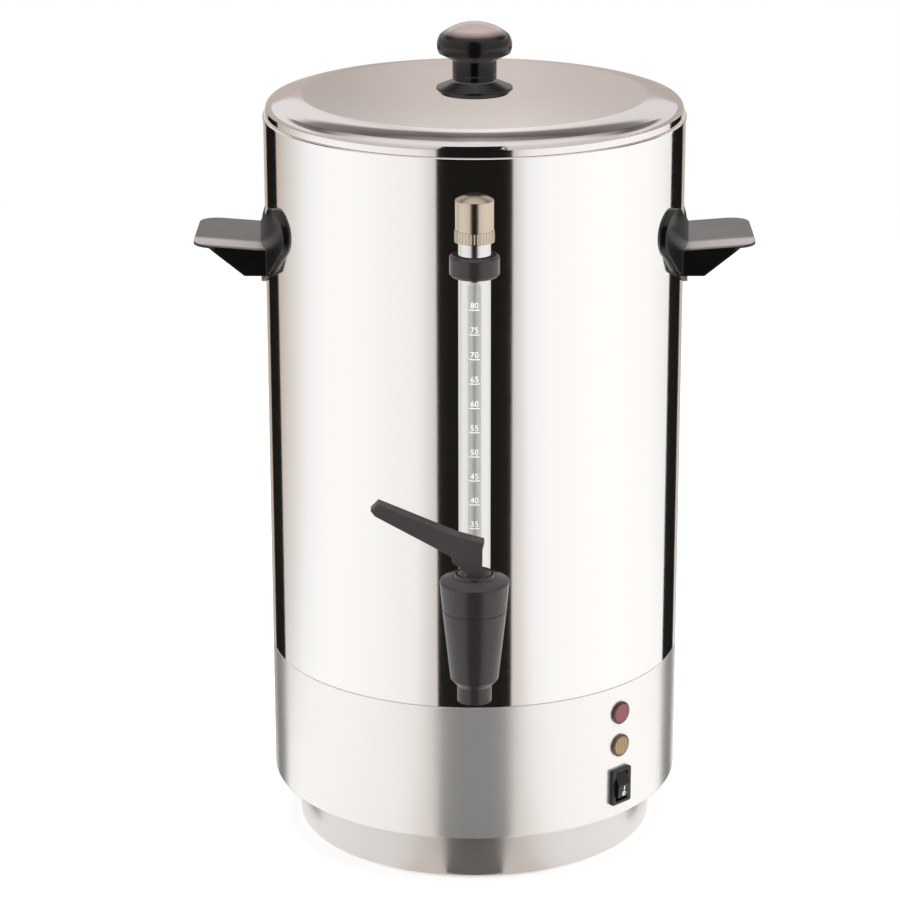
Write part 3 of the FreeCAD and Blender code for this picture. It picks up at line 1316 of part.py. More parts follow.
node("knob_screw", cut("KnobScrew", knob_screw,
                       hexagon("KnobScrewKey", "knob_screw_head", "knob_key_depth",
                               ("0", "0", f"{knob_head_top} - knob_screw_head_height"))))

# Handles: a heart-shaped flange on the wall and a hollow grip, drawn on +X

flange_inner = "(tank_radius + flange_wall_gap)"
flange_outer = "(tank_radius + flange_wall_gap + flange_thickness)"


def lobe(angle):
    """A point on the round of the flange's lobe."""
    return (f"lobe_across + lobe_radius * cos({angle})", f"lobe_height + lobe_radius * sin({angle})")


flange_half = padded("FlangeHalf", "YZ_Plane", [
    ("0", "flange_foot"),
    ("flange_low_across", "flange_low_height"),
    ("flange_mid_across", "flange_mid_height"),
    lobe("-50"),
    lobe("45") + ("lobe_radius",),
    lobe("140") + ("lobe_radius",),
    ("0", "flange_notch"),
], "tank_radius", ("tank_radius", "0", "0"))
flange_mirror = doc.addObject("Part::Mirroring", "FlangeMirror")
flange_mirror.Source = flange_half
flange_mirror.Normal = FreeCAD.Vector(0, 1, 0)
flange_shell = cut("FlangeShell", cylinder("FlangeOut", flange_outer, "rim_top", ("0", "0", "0")),
                   cylinder("FlangeIn", flange_inner, "rim_top", ("0", "0", "0")))
flange = common("Flange", fuse("FlangeHeart", flange_half, flange_mirror), flange_shell)

grip_tip = "(tank_radius + grip_reach)"
grip_start = "(tank_radius - grip_corner)"
grip_low = "(grip_tip_top - grip_plate)"
grip_side_view = padded("GripSide", "XZ_Plane", [
    (grip_start, "skirt_bottom"),
    ("tank_radius + skirt_level", "skirt_bottom"),
    ("tank_radius + skirt_end", "grip_tip_top - grip_edge"),
    (grip_tip, "grip_tip_top - grip_edge"),
    (grip_tip, "grip_tip_top"),
    (grip_start, "grip_root_top"),
], "grip_half_width * 2")
grip_plan_view = padded("GripPlan", "XY_Plane", [
    (grip_start, "-grip_half_width"),
    (f"{grip_tip} - grip_corner", "-grip_half_width"),
    (grip_tip, "-grip_half_width + grip_corner", "grip_corner"),
    (grip_tip, "grip_half_width - grip_corner"),
    (f"{grip_tip} - grip_corner", "grip_half_width", "grip_corner"),
    (grip_start, "grip_half_width"),
], "rim_top * 2")
grip_hollow = padded("GripHollow", "XZ_Plane", [
    (grip_start, "skirt_bottom - grip_plate"),
    (grip_tip, "skirt_bottom - grip_plate"),
    (grip_tip, grip_low),
    (grip_start, "grip_root_top - grip_plate"),
], "(grip_half_width - grip_side) * 2")
bosses = []
boss_ways = []
wall_at_screw = f"sqrt({TANK_INNER} ^ 2 - (boss_spread + handle_washer_radius) ^ 2)"
washer_face = f"({wall_at_screw} - seat_gap)"
for spread in (-1, 1):
    across = f"{spread} * boss_spread"
    bosses.append(cylinder("Boss", "boss_radius", "boss_length + grip_corner",
                           (grip_start, across, "boss_height"), ALONG_X))
    boss_ways.append(cylinder("BossWay", "handle_screw_radius + thread_fit",
                              f"tank_radius + handle_screw_bite + seat_gap - {grip_start}",
                              (grip_start, across, "boss_height"), ALONG_X))
grip = cut("Grip", fuse("GripSolid", cut("GripShell", common("GripForm", grip_side_view, grip_plan_view),
                                         grip_hollow), *bosses),
           cylinder("GripWall", flange_inner, "rim_top", ("0", "0", "0")), *boss_ways)
handle = fuse("Handle", cut("FlangeDrilled", flange, *boss_ways), grip)
node("handle_right", handle)
handle_mirror = doc.addObject("Part::Mirroring", "HandleMirror")
handle_mirror.Source = handle
handle_mirror.Normal = FreeCAD.Vector(1, 0, 0)
node("handle_left", handle_mirror)
screws = []
washers = []
for side in (-1, 1):
    turn = ALONG_X if side > 0 else FreeCAD.Rotation(FreeCAD.Vector(0, 1, 0), -90)
    for spread in (-1, 1):
        across = f"{spread} * boss_spread"
        head_face = f"({washer_face} - handle_washer_thickness - seat_gap)"
        washer = cylinder("HandleWasher", "handle_washer_radius", "handle_washer_thickness",
                          (f"{side} * ({washer_face} - handle_washer_thickness)", across,
                           "boss_height"), turn)
        washer_way = cylinder("HandleWasherWay", "handle_screw_radius + screw_clearance",
                              "handle_washer_thickness",
                              (f"{side} * ({washer_face} - handle_washer_thickness)", across,
                               "boss_height"), turn)
        washers.append(cut("HandleWasherCut", washer, washer_way))
        screws.append(fuse("HandleScrew",
                           cylinder("HandleScrewShank", "handle_screw_radius",
                                    f"tank_radius + handle_screw_bite - {head_face}",
                                    (f"{side} * {head_face}", across, "boss_height"), turn),
                           cylinder("HandleScrewHead", "handle_screw_head", "handle_screw_head_height",
                                    (f"{side} * ({head_face} - handle_screw_head_height)", across,
                                     "boss_height"), turn)))
node("handle_screws", group("HandleScrews", screws))
node("handle_washers", group("HandleWashers", washers))


# Check every piece, then write one STEP file for each

doc.recompute()
for thing in doc.Objects:
    if "Invalid" in thing.State or "Error" in thing.State:
        raise ValueError(f"{thing.Label} did not compute")
os.makedirs("parts", exist_ok=True)
for thing in NODES:
    if thing.Shape.isNull() or not thing.Shape.isValid():
        raise ValueError(f"{thing.Label} has no valid shape")
    thing.Shape.exportStep(f"parts/{thing.Label}.step")
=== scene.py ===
# %% [markdown]
# # A hot water urn, dressed for a photograph
# The urn is a polished steel tank over a brushed steel base, with black moulded
# handles, knob and tap. Its solids come from the CAD model and keep their places,
# so the work here is finishes, printed marks, light and a camera. Everything is in
# metres, with Z up and the tap towards -Y.

# %% Load the frame
import math

import bmesh
import bpy
from mathutils import Euler, Matrix, Vector


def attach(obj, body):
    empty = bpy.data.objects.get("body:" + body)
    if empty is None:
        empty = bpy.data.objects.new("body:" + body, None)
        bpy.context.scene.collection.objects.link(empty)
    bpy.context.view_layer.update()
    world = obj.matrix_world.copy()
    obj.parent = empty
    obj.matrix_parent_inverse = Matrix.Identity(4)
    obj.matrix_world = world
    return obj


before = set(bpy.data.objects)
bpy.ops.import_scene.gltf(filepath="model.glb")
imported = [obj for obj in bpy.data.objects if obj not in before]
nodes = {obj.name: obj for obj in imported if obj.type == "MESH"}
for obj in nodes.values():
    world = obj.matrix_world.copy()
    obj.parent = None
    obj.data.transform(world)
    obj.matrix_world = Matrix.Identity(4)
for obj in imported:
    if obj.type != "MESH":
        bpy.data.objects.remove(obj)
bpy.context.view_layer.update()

# %% [markdown]
# ## Where the camera stood
# The ellipses of the rim, the seam and the foot fix the view: their flatness gives
# the height of the lens, and the way they change down the urn gives its distance.
# The urn sits a little right of the middle of the picture, so the lens is shifted
# and not turned, which keeps the sides of the tank upright.

# %% Camera
camera_data = bpy.data.cameras.new("photo_camera")
camera = bpy.data.objects.new("photo_camera", camera_data)
bpy.context.scene.collection.objects.link(camera)
camera.location = (0.0, -1.7553, 0.789)
camera.rotation_euler = Euler((math.radians(90 - 17.91), 0, 0))
camera_data.lens = 128.26
camera_data.shift_x = -24.5 / 900
camera_data.clip_end = 50
bpy.context.scene.camera = camera
bpy.context.scene.view_settings.view_transform = "Standard"
print("camera distance:", round(camera.location.length, 3))

# %% [markdown]
# ## Small helpers
# Colours are written as they look on a screen, so one function turns them to the
# linear values that a shader works with. Another adds a node with its settings and
# its links in one line, which keeps each finish short enough to read.

# %% Helpers for materials
MM = 0.001


def linear(hex_colour):
    """Turn '#rrggbb' as seen on a screen into linear red, green, blue and alpha."""
    parts = [int(hex_colour[i:i + 2], 16) / 255 for i in (1, 3, 5)]
    return [p / 12.92 if p <= 0.04045 else ((p + 0.055) / 1.055) ** 2.4 for p in parts] + [1.0]


def add(tree, kind, inputs=None, **settings):
    """Add a node, set its properties, and feed its sockets with values or outputs."""
    node = tree.nodes.new(kind)
    for name, value in settings.items():
        setattr(node, name, value)
    for socket, value in (inputs or {}).items():
        if isinstance(value, bpy.types.NodeSocket):
            tree.links.new(value, node.inputs[socket])
        else:
            node.inputs[socket].default_value = value
    return node


def new_material(name, **sockets):
    """Start a material: its tree, its main shader and the object's own coordinates."""
    material = bpy.data.materials.new(name)
    material.use_nodes = True
    tree = material.node_tree
    shader = tree.nodes["Principled BSDF"]
    for socket, value in sockets.items():
        shader.inputs[socket.replace("_", " ")].default_value = value
    place = add(tree, "ShaderNodeTexCoord").outputs["Object"]
    return material, tree, shader, place


def grey(level):
    """A neutral colour of a linear level."""
    return (level, level, level, 1.0)


def stepped(tree, source, stops):
    """A colour ramp through (position, colour) stops, driven by a value."""
    ramp = add(tree, "ShaderNodeValToRGB", {"Fac": source})
    elements = ramp.color_ramp.elements
    while len(elements) < len(stops):
        elements.new(0.5)
    for element, (position, colour) in zip(elements, stops):
        element.position = position
        element.color = colour
    return ramp.outputs[0]


def dress(material, *names):
    """Give CAD nodes one finish."""
    for name in names:
        mesh = nodes[name].data
        mesh.materials.clear()
        mesh.materials.append(material)


# %% [markdown]
# ## Polished stainless steel
# The tank, the lid and the gauge's guard are buffed to a mirror. What shows is the
# room: white sides, a dark middle where the camera stands, and dark edges. The
# sheet is never quite true, so a wide and very shallow wave bends the reflections,
# and fine buffing haze keeps them from being razor sharp.
#
# The photograph doesn't show the inside of the tank. A mirror there would only
# reflect itself many times over and come out black, so the inside has a guessed
# satin skin. One mesh carries both finishes, and the distance from the axis
# chooses between them.

# %% Polished steel
TANK_INSIDE = 117.0 * MM
WALL_BLEND = 0.2 * MM
INSIDE_ROUGHNESS = 0.38
INSIDE_METALLIC = 0.35


def polished_steel(name, colour, roughness, wave_height, haze_range=(0.7, 1.5), inside=None):
    """Buffed steel; what is nearer to the axis than the inside radius has a satin skin."""
    material, tree, shader, place = new_material(name, Base_Color=linear(colour), Metallic=1.0,
                                                 Roughness=roughness)
    # Buffing haze: streaks about 2 mm high that run round the tank
    streaks = add(tree, "ShaderNodeMapping", {"Vector": place, "Scale": (8, 8, 500)})
    haze = add(tree, "ShaderNodeTexNoise", {"Vector": streaks.outputs[0], "Scale": 1.0, "Detail": 4.0})
    spread = add(tree, "ShaderNodeMapRange", {"Value": haze.outputs["Fac"],
                                              "To Min": roughness * haze_range[0],
                                              "To Max": roughness * haze_range[1]})
    gloss = spread.outputs[0]
    if inside:
        flat = add(tree, "ShaderNodeVectorMath", {0: place, 1: (1, 1, 0)}, operation="MULTIPLY")
        reach = add(tree, "ShaderNodeVectorMath", {0: flat.outputs[0]}, operation="LENGTH")
        outer = add(tree, "ShaderNodeMapRange", {"Value": reach.outputs["Value"], "From Min": inside,
                                                 "From Max": inside + WALL_BLEND})
        gloss = add(tree, "ShaderNodeMix", {"Factor": outer.outputs[0], 2: INSIDE_ROUGHNESS,
                                            3: gloss}).outputs[0]
        mirror = add(tree, "ShaderNodeMapRange", {"Value": outer.outputs[0], "To Min": INSIDE_METALLIC,
                                                  "To Max": 1.0})
        tree.links.new(mirror.outputs[0], shader.inputs["Metallic"])
    tree.links.new(gloss, shader.inputs["Roughness"])
    # The sheet's own waves: about 60 mm across and a few hundredths of a millimetre deep
    waves = add(tree, "ShaderNodeTexNoise", {"Vector": place, "Scale": 16.0, "Detail": 1.0})
    bump = add(tree, "ShaderNodeBump", {"Height": waves.outputs["Fac"], "Distance": wave_height,
                                         "Strength": 1.0})
    tree.links.new(bump.outputs[0], shader.inputs["Normal"])
    return material


tank_steel = polished_steel("polished_stainless_tank", "#f4f2f1", 0.07, 0.04 * MM, inside=TANK_INSIDE)
lid_steel = polished_steel("polished_stainless_lid", "#efe9e8", 0.075, 0.03 * MM)
guard_steel = polished_steel("polished_stainless_guard", "#e4e3e1", 0.24, 0.01 * MM, (0.96, 1.04))
dress(tank_steel, "tank_wall", "tank_floor")
dress(lid_steel, "lid_shell")
dress(guard_steel, "gauge_guard")

# %% [markdown]
# ## Brushed stainless steel
# The base is the same steel, rubbed with a belt while it turned. The scratches run
# round it, a tenth of a millimetre or so apart, and they spread every reflection.
# They are drawn a little coarser than they are, or they would not show.

# %% Brushed steel
def brushed_steel(name, colour, roughness, metallic, pitch):
    """Belt-rubbed steel; a little less than fully metallic, because the fine grooves hold some haze."""
    material, tree, shader, place = new_material(name, Base_Color=linear(colour), Metallic=metallic,
                                                 Roughness=roughness)
    along = add(tree, "ShaderNodeMapping", {"Vector": place, "Scale": (12, 12, 1 / pitch)})
    grain = add(tree, "ShaderNodeTexNoise", {"Vector": along.outputs[0], "Scale": 1.0, "Detail": 3.0})
    tone = add(tree, "ShaderNodeMapRange", {"Value": grain.outputs["Fac"], "To Min": roughness * 0.92,
                                            "To Max": roughness * 1.1})
    tree.links.new(tone.outputs[0], shader.inputs["Roughness"])
    scratch = add(tree, "ShaderNodeBump", {"Height": grain.outputs["Fac"], "Distance": 0.02 * MM,
                                           "Strength": 0.14})
    tree.links.new(scratch.outputs[0], shader.inputs["Normal"])
    return material


base_steel = brushed_steel("brushed_stainless_base", "#f9f6f3", 0.24, 0.70, 0.35 * MM)
foot_steel = brushed_steel("brushed_stainless_foot", "#e3dedb", 0.30, 0.78, 0.35 * MM)
dress(base_steel, "base_band")
dress(foot_steel, "foot_ring")

# %% [markdown]
# ## Black moulded phenolic
# The handles, the knob and the tap are pressed from hard black resin. It comes out
# of the tool glossy, with a faint ripple, so it is nearly black with crisp, dim
# reflections that grow towards the edges. A rounded shading normal, about a
# millimetre wide, softens the edges that the mould leaves.
#
# The photograph has pale highlights on the knob's dome and along the front of each
# grip. No light in this scene makes them, so the base colour stands in for them: it
# is paler where the face looks up and, on the grips, in a strip along the front.

# %% Black resin
GRIP_HALF_WIDTH = 34 * MM
EDGE_ROUND = 0.9 * MM


def black_resin(name, colour, roughness, ior=1.5, top=None, upward_from=0.86, strip=None):
    """Hard black resin; a top colour makes faces that look up paler, in place of a highlight."""
    material, tree, shader, place = new_material(name, Base_Color=linear(colour), Roughness=roughness,
                                                 IOR=ior)
    if top:
        facing = add(tree, "ShaderNodeTexCoord").outputs["Normal"]
        upward = add(tree, "ShaderNodeSeparateXYZ", {"Vector": facing})
        upward_stops = [(upward_from, linear(colour)), (min(upward_from + 0.1, 1.0), linear(top))]
        shade = stepped(tree, upward.outputs["Z"], upward_stops)
        if strip:
            # A painted highlight: a paler strip about 14 mm wide, just behind the front edge of the grip
            along = add(tree, "ShaderNodeSeparateXYZ", {"Vector": place})
            across = add(tree, "ShaderNodeMapRange", {"Value": along.outputs["Y"],
                                                      "From Min": -GRIP_HALF_WIDTH,
                                                      "From Max": GRIP_HALF_WIDTH})
            front = stepped(tree, across.outputs[0], [(0.04, grey(0)), (0.08, grey(1)), (0.24, grey(1)),
                                                      (0.32, grey(0))])
            flat = stepped(tree, upward.outputs["Z"], [(0.9, grey(0)), (0.97, grey(1))])
            share = add(tree, "ShaderNodeMath", {0: front, 1: flat}, operation="MULTIPLY")
            shade = add(tree, "ShaderNodeMix", {"Factor": share.outputs[0], 6: shade, 7: linear(strip)},
                        data_type="RGBA").outputs[2]
        tree.links.new(shade, shader.inputs["Base Color"])
    ripple = add(tree, "ShaderNodeTexNoise", {"Vector": place, "Scale": 220.0, "Detail": 3.0})
    soft_edge = add(tree, "ShaderNodeBevel", {"Radius": EDGE_ROUND})
    bump = add(tree, "ShaderNodeBump", {"Height": ripple.outputs["Fac"], "Distance": 0.02 * MM,
                                         "Strength": 0.5, "Normal": soft_edge.outputs[0]})
    tree.links.new(bump.outputs[0], shader.inputs["Normal"])
    wear = add(tree, "ShaderNodeTexNoise", {"Vector": place, "Scale": 40.0, "Detail": 5.0})
    gloss = add(tree, "ShaderNodeMapRange", {"Value": wear.outputs["Fac"], "To Min": roughness * 0.6,
                                             "To Max": roughness * 1.6})
    tree.links.new(gloss.outputs[0], shader.inputs["Roughness"])
    return material


resin = black_resin("black_phenolic", "#0d0c0b", 0.14, 1.5)
handle_resin = black_resin("black_phenolic_handle", "#0d0c0b", 0.2, 1.5, top="#2e2826", strip="#b5aba8")
knob_resin = black_resin("black_phenolic_knob", "#0f0d0a", 0.2, 1.5, top="#b5a39f", upward_from=0.78)
# Painted light: the tap, its collar and its lever are the same black resin, painted paler as brighter light
# shows it
tap_resin_painted_paler = black_resin("black_phenolic_painted_paler", "#383232", 0.24, 1.5)
lever_resin_painted_paler = black_resin("black_nylon_painted_paler", "#4c4545", 0.42, 1.45)
switch_plastic = black_resin("black_nylon", "#141312", 0.32)
rubber = black_resin("black_rubber", "#1a1918", 0.75)
dress(resin, "knob_base")
dress(handle_resin, "handle_left", "handle_right")
dress(knob_resin, "lid_knob")
dress(tap_resin_painted_paler, "tap_body", "tap_bonnet", "gauge_collar")
dress(lever_resin_painted_paler, "tap_lever")
# Real steel would mirror the tap, the gauge and the knob. The photograph shows none of them in it.
for name in ("tap_body", "tap_bonnet", "tap_lever", "gauge_guard", "gauge_glass", "gauge_collar",
             "gauge_cap", "gauge_screw", "gauge_lower_seal", "gauge_upper_seal", "tap_stem", "lever_pin",
             "seat_cup", "tap_spring", "tap_washer_outer", "lid_knob", "knob_base", "knob_screw"):
    nodes[name].visible_glossy = False
dress(switch_plastic, "switch_housing", "switch_rocker", "inlet_body")
dress(rubber, "rubber_feet", "tap_washer_outer", "tap_washer_inner", "gauge_lower_seal",
      "gauge_upper_seal", "seat_cup")

# %% [markdown]
# ## Nickel plate, zinc plate, brass and glass
# The gauge's cap is brass under nickel, which is warmer than steel. The parts that
# nobody sees are zinc plated sheet, plain fasteners, plated brass blades and pale
# nylon. Zinc has a bluish and slightly blotchy passivated skin.

# %% Smaller metals and glass
nickel, tree, shader, place = new_material("satin_nickel_plate", Base_Color=linear("#cdc0ae"), Metallic=1.0,
                                           Roughness=0.24)
turning = add(tree, "ShaderNodeMapping", {"Vector": place, "Scale": (30, 30, 4000)})
rings = add(tree, "ShaderNodeTexNoise", {"Vector": turning.outputs[0], "Scale": 1.0, "Detail": 2.0})
bump = add(tree, "ShaderNodeBump", {"Height": rings.outputs["Fac"], "Distance": 0.005 * MM,
                                     "Strength": 0.4})
tree.links.new(bump.outputs[0], shader.inputs["Normal"])
dress(nickel, "gauge_cap", "shank_nut")


def plated(name, colour, roughness, blotch):
    """A plated or cast metal whose skin varies in colour over a few millimetres."""
    material, tree, shader, place = new_material(name, Metallic=1.0, Roughness=roughness)
    cloud = add(tree, "ShaderNodeTexNoise", {"Vector": place, "Scale": 1 / blotch, "Detail": 5.0})
    dark = [0.8 * v for v in linear(colour)[:3]] + [1.0]
    tint = stepped(tree, cloud.outputs["Fac"], [(0, dark), (1, linear(colour))])
    tree.links.new(tint, shader.inputs["Base Color"])
    return material


zinc = plated("zinc_plate", "#c6cbd2", 0.38, 12 * MM)
fastener = plated("plain_steel_fastener", "#c9c9c9", 0.3, 4 * MM)
aluminium = plated("cast_aluminium", "#c4c5c8", 0.5, 3 * MM)
sheath = plated("heat_tinted_sheath", "#8a7f76", 0.42, 8 * MM)
blade = plated("tinned_brass", "#d8cfae", 0.3, 3 * MM)
dress(zinc, "bottom_cover", "cover_tabs", "wiring_rail", "element_clamp", "floor_stud", "clamp_nut",
      "lamp_clips")
dress(fastener, "cover_screws", "inlet_screws", "handle_screws", "handle_washers", "knob_screw",
      "knob_washer", "gauge_screw", "earth_stud", "tap_stem", "lever_pin", "tap_spring")
dress(aluminium, "heat_plate")
dress(sheath, "heating_element")
dress(blade, "inlet_pins", "switch_blades")


def moulded(name, colour, roughness, **sockets):
    """A moulded plastic with a fine orange-peel skin."""
    material, tree, shader, place = new_material(name, Base_Color=linear(colour), Roughness=roughness,
                                                 **sockets)
    peel = add(tree, "ShaderNodeTexNoise", {"Vector": place, "Scale": 900.0, "Detail": 2.0})
    bump = add(tree, "ShaderNodeBump", {"Height": peel.outputs["Fac"], "Distance": 0.02 * MM,
                                         "Strength": 0.4})
    tree.links.new(bump.outputs[0], shader.inputs["Normal"])
    return material


dress(moulded("brown_phenolic", "#2a1d17", 0.4), "boil_thermostat", "warm_thermostat", "safety_cutout")
dress(moulded("red_reset_button", "#a3201c", 0.3), "reset_button")
dress(moulded("white_nylon", "#e4e1d8", 0.45), "terminal_block", "lamp_bodies")

glass, tree, shader, place = new_material("borosilicate_glass", Base_Color=linear("#fdfefe"),
                                          Roughness=0.02, IOR=1.47, Transmission_Weight=1.0)
film = add(tree, "ShaderNodeTexNoise", {"Vector": place, "Scale": 300.0, "Detail": 3.0})
haze = add(tree, "ShaderNodeMapRange", {"Value": film.outputs["Fac"], "To Min": 0.0, "To Max": 0.08})
tree.links.new(haze.outputs[0], shader.inputs["Roughness"])
dress(glass, "gauge_glass")

# %% [markdown]
# ## Indicator lenses
# Each lens is a cap of tinted polycarbonate over a small neon. The amber one is
# cut in a diamond pattern, about two millimetres across, which scatters the light.
# Unlit, they look deep and dark with a soft glossy skin. The pattern and the dark
# rim are laid out on the panel, so the coordinates are turned to face it first.

# %% Lenses
PANEL_DEGREES = 44.2
RED_HEIGHT = 93.8 * MM
AMBER_HEIGHT = 74.0 * MM
FACET_PITCH = 2.4 * MM
FACE_EDGE = 4.8 * MM
WALL_START = 5.6 * MM


def lens(name, colour, painted_hollow_shade, wall, height, facet_depth):
    """A lens whose thick side wall looks darker than its face, which is 9.6 mm across."""
    material, tree, shader, place = new_material(name, Roughness=0.18, IOR=1.58, Subsurface_Weight=0.25,
                                                 Coat_Weight=0.3, Coat_Roughness=0.08)
    shader.inputs["Subsurface Radius"].default_value = (2 * MM, 1 * MM, 0.5 * MM)
    shader.inputs["Subsurface Scale"].default_value = 1.0
    turned = add(tree, "ShaderNodeMapping", {"Vector": place,
                                             "Rotation": (0, 0, math.radians(-PANEL_DEGREES))})
    parts = add(tree, "ShaderNodeSeparateXYZ", {"Vector": turned.outputs[0]})
    waves = []
    for sign in (1, -1):
        lean = add(tree, "ShaderNodeMath", {0: parts.outputs["Z"], 1: sign}, operation="MULTIPLY")
        mixed = add(tree, "ShaderNodeMath", {0: parts.outputs["X"], 1: lean.outputs[0]}, operation="ADD")
        phase = add(tree, "ShaderNodeMath", {0: mixed.outputs[0], 1: 2 * math.pi / FACET_PITCH},
                    operation="MULTIPLY")
        waves.append(add(tree, "ShaderNodeMath", {0: phase.outputs[0]}, operation="SINE"))
    grid = add(tree, "ShaderNodeMath", {0: waves[0].outputs[0], 1: waves[1].outputs[0]},
               operation="MULTIPLY")
    level = add(tree, "ShaderNodeMapRange", {"Value": grid.outputs[0], "From Min": -0.6, "From Max": 0.6})
    # Painted shade and highlight: the hollows of the diamond cut are darker and its crests paler
    face = stepped(tree, level.outputs[0], [(0, linear(painted_hollow_shade)), (1, linear(colour))])
    rise = add(tree, "ShaderNodeMath", {0: parts.outputs["Z"], 1: -height}, operation="ADD")
    flat = add(tree, "ShaderNodeCombineXYZ", {"X": parts.outputs["X"], "Y": rise.outputs[0]})
    reach = add(tree, "ShaderNodeVectorMath", {0: flat.outputs[0]}, operation="LENGTH")
    edge = add(tree, "ShaderNodeMapRange", {"Value": reach.outputs["Value"], "From Min": FACE_EDGE,
                                            "From Max": WALL_START})
    shade = add(tree, "ShaderNodeMix", {"Factor": edge.outputs[0], 6: face, 7: linear(wall)},
                data_type="RGBA")
    tree.links.new(shade.outputs[2], shader.inputs["Base Color"])
    bump = add(tree, "ShaderNodeBump", {"Height": grid.outputs[0], "Distance": facet_depth,
                                         "Strength": 0.6})
    tree.links.new(bump.outputs[0], shader.inputs["Normal"])
    return material


dress(lens("red_polycarbonate_lens", "#a24c58", "#8f3a48", "#43161f", RED_HEIGHT, 0.01 * MM), "red_lens")
dress(lens("amber_polycarbonate_lens", "#dcb976", "#7a5426", "#4f3a22", AMBER_HEIGHT, 0.15 * MM),
      "amber_lens")

# %% [markdown]
# ## Behind the glass
# Through the slot the photograph shows an even grey behind the white figures. The
# back half of the tube gets a thin grey skin for it. It is a stand-in for what lies
# behind the glass, and it glows a little, because little light gets into the slot.

# %% Gauge backing
GAUGE_Y = -131.5 * MM
BACKING_RADIUS = 5.3 * MM
BACKING_HEIGHT = 168 * MM
BACKING_MIDDLE = 273.5 * MM

back = bmesh.new()
stripe = bmesh.ops.create_grid(back, x_segments=16, y_segments=1, size=0.5)
bmesh.ops.scale(back, vec=(math.pi * BACKING_RADIUS, BACKING_HEIGHT, 1), verts=stripe["verts"])
bmesh.ops.rotate(back, matrix=Matrix.Rotation(math.pi / 2, 3, "X"), verts=stripe["verts"])
for vert in back.verts:
    angle = vert.co.x / BACKING_RADIUS
    vert.co = (BACKING_RADIUS * math.sin(angle), GAUGE_Y + BACKING_RADIUS * math.cos(angle),
               vert.co.z + BACKING_MIDDLE)
back_mesh = bpy.data.meshes.new("gauge_backing")
back.to_mesh(back_mesh)
back.free()
gauge_backing = bpy.data.objects.new("gauge_backing", back_mesh)
bpy.context.scene.collection.objects.link(gauge_backing)
# The backing's glow is painted light, for the light that the slot keeps out
grey_backing_painted_glow = moulded("grey_enamel_backing", "#c9c6c2", 0.5, Emission_Color=linear("#c9c6c2"),
                      Emission_Strength=0.4)
gauge_backing.data.materials.append(grey_backing_painted_glow)
gauge_backing.visible_glossy = False
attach(gauge_backing, "urn")
print("gauge backing faces:", len(back_mesh.polygons))

# %% [markdown]
# ## The gauge's marks
# Ten lines and numbers are fired onto the front of the glass, white against the
# grey. Each line is 5 cups. Text becomes a mesh, and then every point is wrapped
# round the tube, so that the figures follow the glass. The enamel glows a little,
# so that the small figures still read through the slot.

# %% Gauge marks
TOP_CUPS = 80
CUPS_STEP = 5
FIGURE_HEIGHT = 4.6 * MM
FIGURE_LIFT = 1.0 * MM
LINE_WIDTH = 6.2 * MM
LINE_THICKNESS = 0.45 * MM
LONGEST_EDGE = 0.6 * MM
MARK_RADIUS = 5.08 * MM
FIRST_MARK = 342.6 * MM
MARK_STEP = 13.45 * MM

marks = bmesh.new()
for index in range(10):
    height = FIRST_MARK - index * MARK_STEP
    text = bpy.data.curves.new("gauge_number", "FONT")
    text.body = str(TOP_CUPS - CUPS_STEP * index)
    text.size = FIGURE_HEIGHT
    text.align_x = "CENTER"
    text.resolution_u = 3
    number = bpy.data.objects.new("gauge_number", text)
    letters = bpy.data.meshes.new_from_object(number)
    letters.transform(Matrix.Translation((0, FIGURE_LIFT, 0)))
    letters.transform(Matrix.Rotation(math.pi / 2, 4, "X"))
    letters.transform(Matrix.Translation((0, 0, height)))
    marks.from_mesh(letters)
    bpy.data.objects.remove(number)
    bpy.data.curves.remove(text)
    bpy.data.meshes.remove(letters)
    line = bmesh.ops.create_grid(marks, x_segments=10, y_segments=1, size=0.5)
    bmesh.ops.scale(marks, vec=(LINE_WIDTH, LINE_THICKNESS, 1), verts=line["verts"])
    bmesh.ops.rotate(marks, matrix=Matrix.Rotation(math.pi / 2, 3, "X"), verts=line["verts"])
    bmesh.ops.translate(marks, vec=(0, 0, height), verts=line["verts"])
# Short edges, so that the flat figures can bend round the tube
long_edges = [edge for edge in marks.edges if edge.calc_length() > LONGEST_EDGE]
bmesh.ops.subdivide_edges(marks, edges=long_edges, cuts=2)
bmesh.ops.triangulate(marks, faces=marks.faces[:])
for vert in marks.verts:
    angle = vert.co.x / MARK_RADIUS
    vert.co.x = MARK_RADIUS * math.sin(angle)
    vert.co.y = GAUGE_Y - MARK_RADIUS * math.cos(angle)
mark_mesh = bpy.data.meshes.new("gauge_marks")
marks.to_mesh(mark_mesh)
marks.free()
gauge_marks = bpy.data.objects.new("gauge_marks", mark_mesh)
bpy.context.scene.collection.objects.link(gauge_marks)
# The white print has a painted glow, so that the small figures read through the slot
white_print_painted_glow = moulded("white_fired_print_painted_glow", "#eceae6", 0.35, Emission_Color=linear("#f4f2ee"),
                 Emission_Strength=0.9)
gauge_marks.data.materials.append(white_print_painted_glow)
gauge_marks.visible_glossy = False
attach(gauge_marks, "urn")
print("gauge mark faces:", len(mark_mesh.polygons))

# %% [markdown]
# ## Marks on the rocker
# The lower half of the rocker carries the two usual signs, a bar for on and a ring
# for off, in white on its sloping face. They are drawn flat first, each so many
# millimetres below the nose of the rocker, and are then laid on the slope.

# %% Switch marks
PANEL_TURN = math.radians(PANEL_DEGREES)
PIVOT = Vector((0, -114.5 * MM, 49.6 * MM))
FACE_LEAN = math.radians(11)
# The rocker's outline from its pivot, in millimetres: the nose, and the lower end of its face
ROCKER_REACH = 7.6
ROCKER_HALF = 7.2
ROCKER_SHOULDER = 5.4
SIGN_LIFT = 0.06
BAR_DROP = 1.9 * MM
RING_DROP = 5.2 * MM

